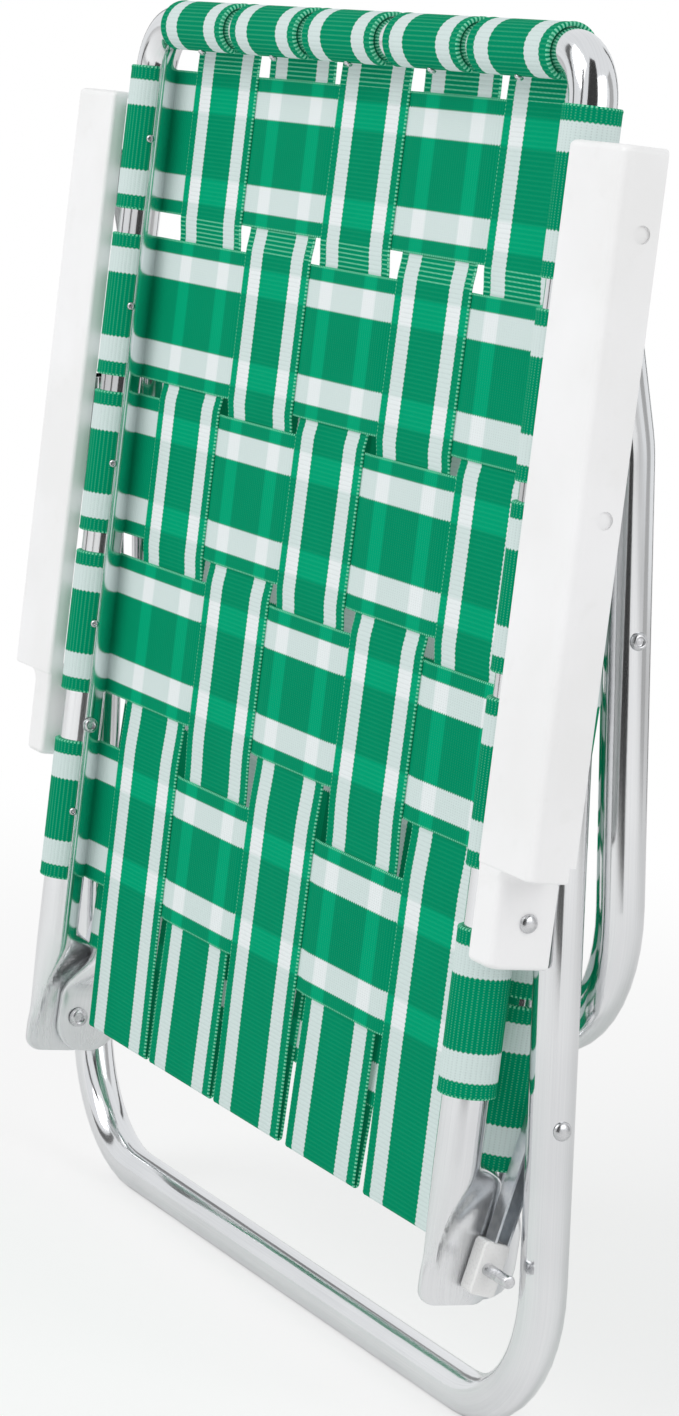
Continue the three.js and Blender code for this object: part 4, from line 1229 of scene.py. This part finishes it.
def run_stations(panel, start, end, crossings, across, point, backlit_from=math.inf):
    normal, _ = ways(panel)
    places = woven_run(start, end, crossings)
    stations = []
    for i, (at, lift, crossing) in enumerate(places):
        before = places[i - 1][2] if i else None
        known = crossing if crossing is not None else before
        stations.append(station(point(at, PANEL_DEPTH + lift), across, normal, HALF_THICK,
                                float(at > backlit_from), (before, crossing), covered_by(at, crossings, known)))
    return stations


print(f"straps lie {PANEL_DEPTH * 1000:.2f} mm in front of a tube's middle")

# %% Cross straps
def cross_strap(panel, number):
    place, span = panel["place"], panel["half_span"]
    length = panel["rows"][number]
    row = panel["first_row"] + panel["row_step"] * number
    depth_way, along = ways(panel)
    crossings = [(column_at(panel, c, length), lift_of(c, row, 1)) for c in range(len(COLUMNS))]
    middle = run_stations(panel, -span, span, crossings, along, lambda x, depth: place(x, depth, length))
    right, left = [wrap(along, place(sign * span, 0, length), depth_way, Vector((sign, 0, 0)))
                   for sign in SIDES.values()]
    return ribbon(f"{panel['name']}_cross_webbing_{number + 1}", left[::-1] + middle + right)


for panel in (BACK, SEAT):
    for number in range(len(panel["rows"])):
        strap, length = cross_strap(panel, number)
        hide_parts(f"{panel['name']}_cross_strap_{number + 1}")
        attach(strap, panel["name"])
    print(panel["name"], "cross straps,", round(length, 3), "m each,", len(strap.data.polygons), "faces")

# %% Long straps
FOLD_STEPS = 10


def long_strap(column):
    across = Vector((1, 0, 0))
    halves = []
    for panel in (BACK, SEAT):
        place, top = panel["place"], panel["top"]
        rows = [(length, lift_of(column, panel["first_row"] + panel["row_step"] * i, -1))
                for i, length in enumerate(panel["rows"])]
        run = run_stations(panel, FOLD_LENGTH, top, rows, across,
                           lambda length, depth: place(column_at(panel, column, length), depth, length),
                           BACKLIT_ABOVE)
        halves.append(run + wrap(across, place(column_at(panel, column, top), 0, top), *ways(panel)))
    back, seat = halves
    for s in back:
        s["in"], s["out"] = s["out"], s["in"]
    lower, upper = back[0]["middle"], seat[0]["middle"]
    centre, half = (lower + upper) / 2, (lower - upper) / 2
    fold = []
    for i in range(1, FOLD_STEPS):
        angle = math.pi * i / FOLD_STEPS
        arm = half * math.cos(angle) + Vector((0, 0, -half.length)) * math.sin(angle)
        fold.append(station(centre + arm, across, -arm, HALF_THICK))
    return ribbon(f"long_webbing_{column + 1}", back[::-1] + fold + seat)


fold_middle = (on_back(0, PANEL_DEPTH, FOLD_LENGTH) + on_seat(0, PANEL_DEPTH, FOLD_LENGTH)) / 2
for column in range(len(COLUMNS)):
    strap, length = long_strap(column)
    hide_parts(f"back_long_strap_{column + 1}", f"seat_long_strap_{column + 1}")
    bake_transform(strap)
print("long straps,", round(length, 3), "m each,", len(strap.data.polygons), "faces")

# %% Strap rivets
STRAP_RIVET_ANGLE = math.radians(250)
STRAP_RIVET = {"Head Radius": 0.0022, "Head Height": 0.0017, "Hollow": 0.85}


def strap_rivet_places(panel):
    place, span, top = panel["place"], panel["half_span"], panel["top"]
    depth_way, along = ways(panel)
    ends = [(place(side * span, 0, length), Vector((side, 0, 0)))
            for length in panel["rows"] for side in SIDES.values()]
    ends += [(place(column_at(panel, c, top), 0, top), along) for c in range(len(COLUMNS))]
    places = []
    for tube, out_way in ends:
        way = depth_way * math.cos(STRAP_RIVET_ANGLE) + out_way * math.sin(STRAP_RIVET_ANGLE)
        places.append((tube + way * (WRAP_RADIUS + HALF_DOUBLE), way))
    return places


for panel in (BACK, SEAT):
    heads(f"{panel['name']}_strap_rivets", STRAP_RIVET, strap_rivet_places(panel), panel["name"])
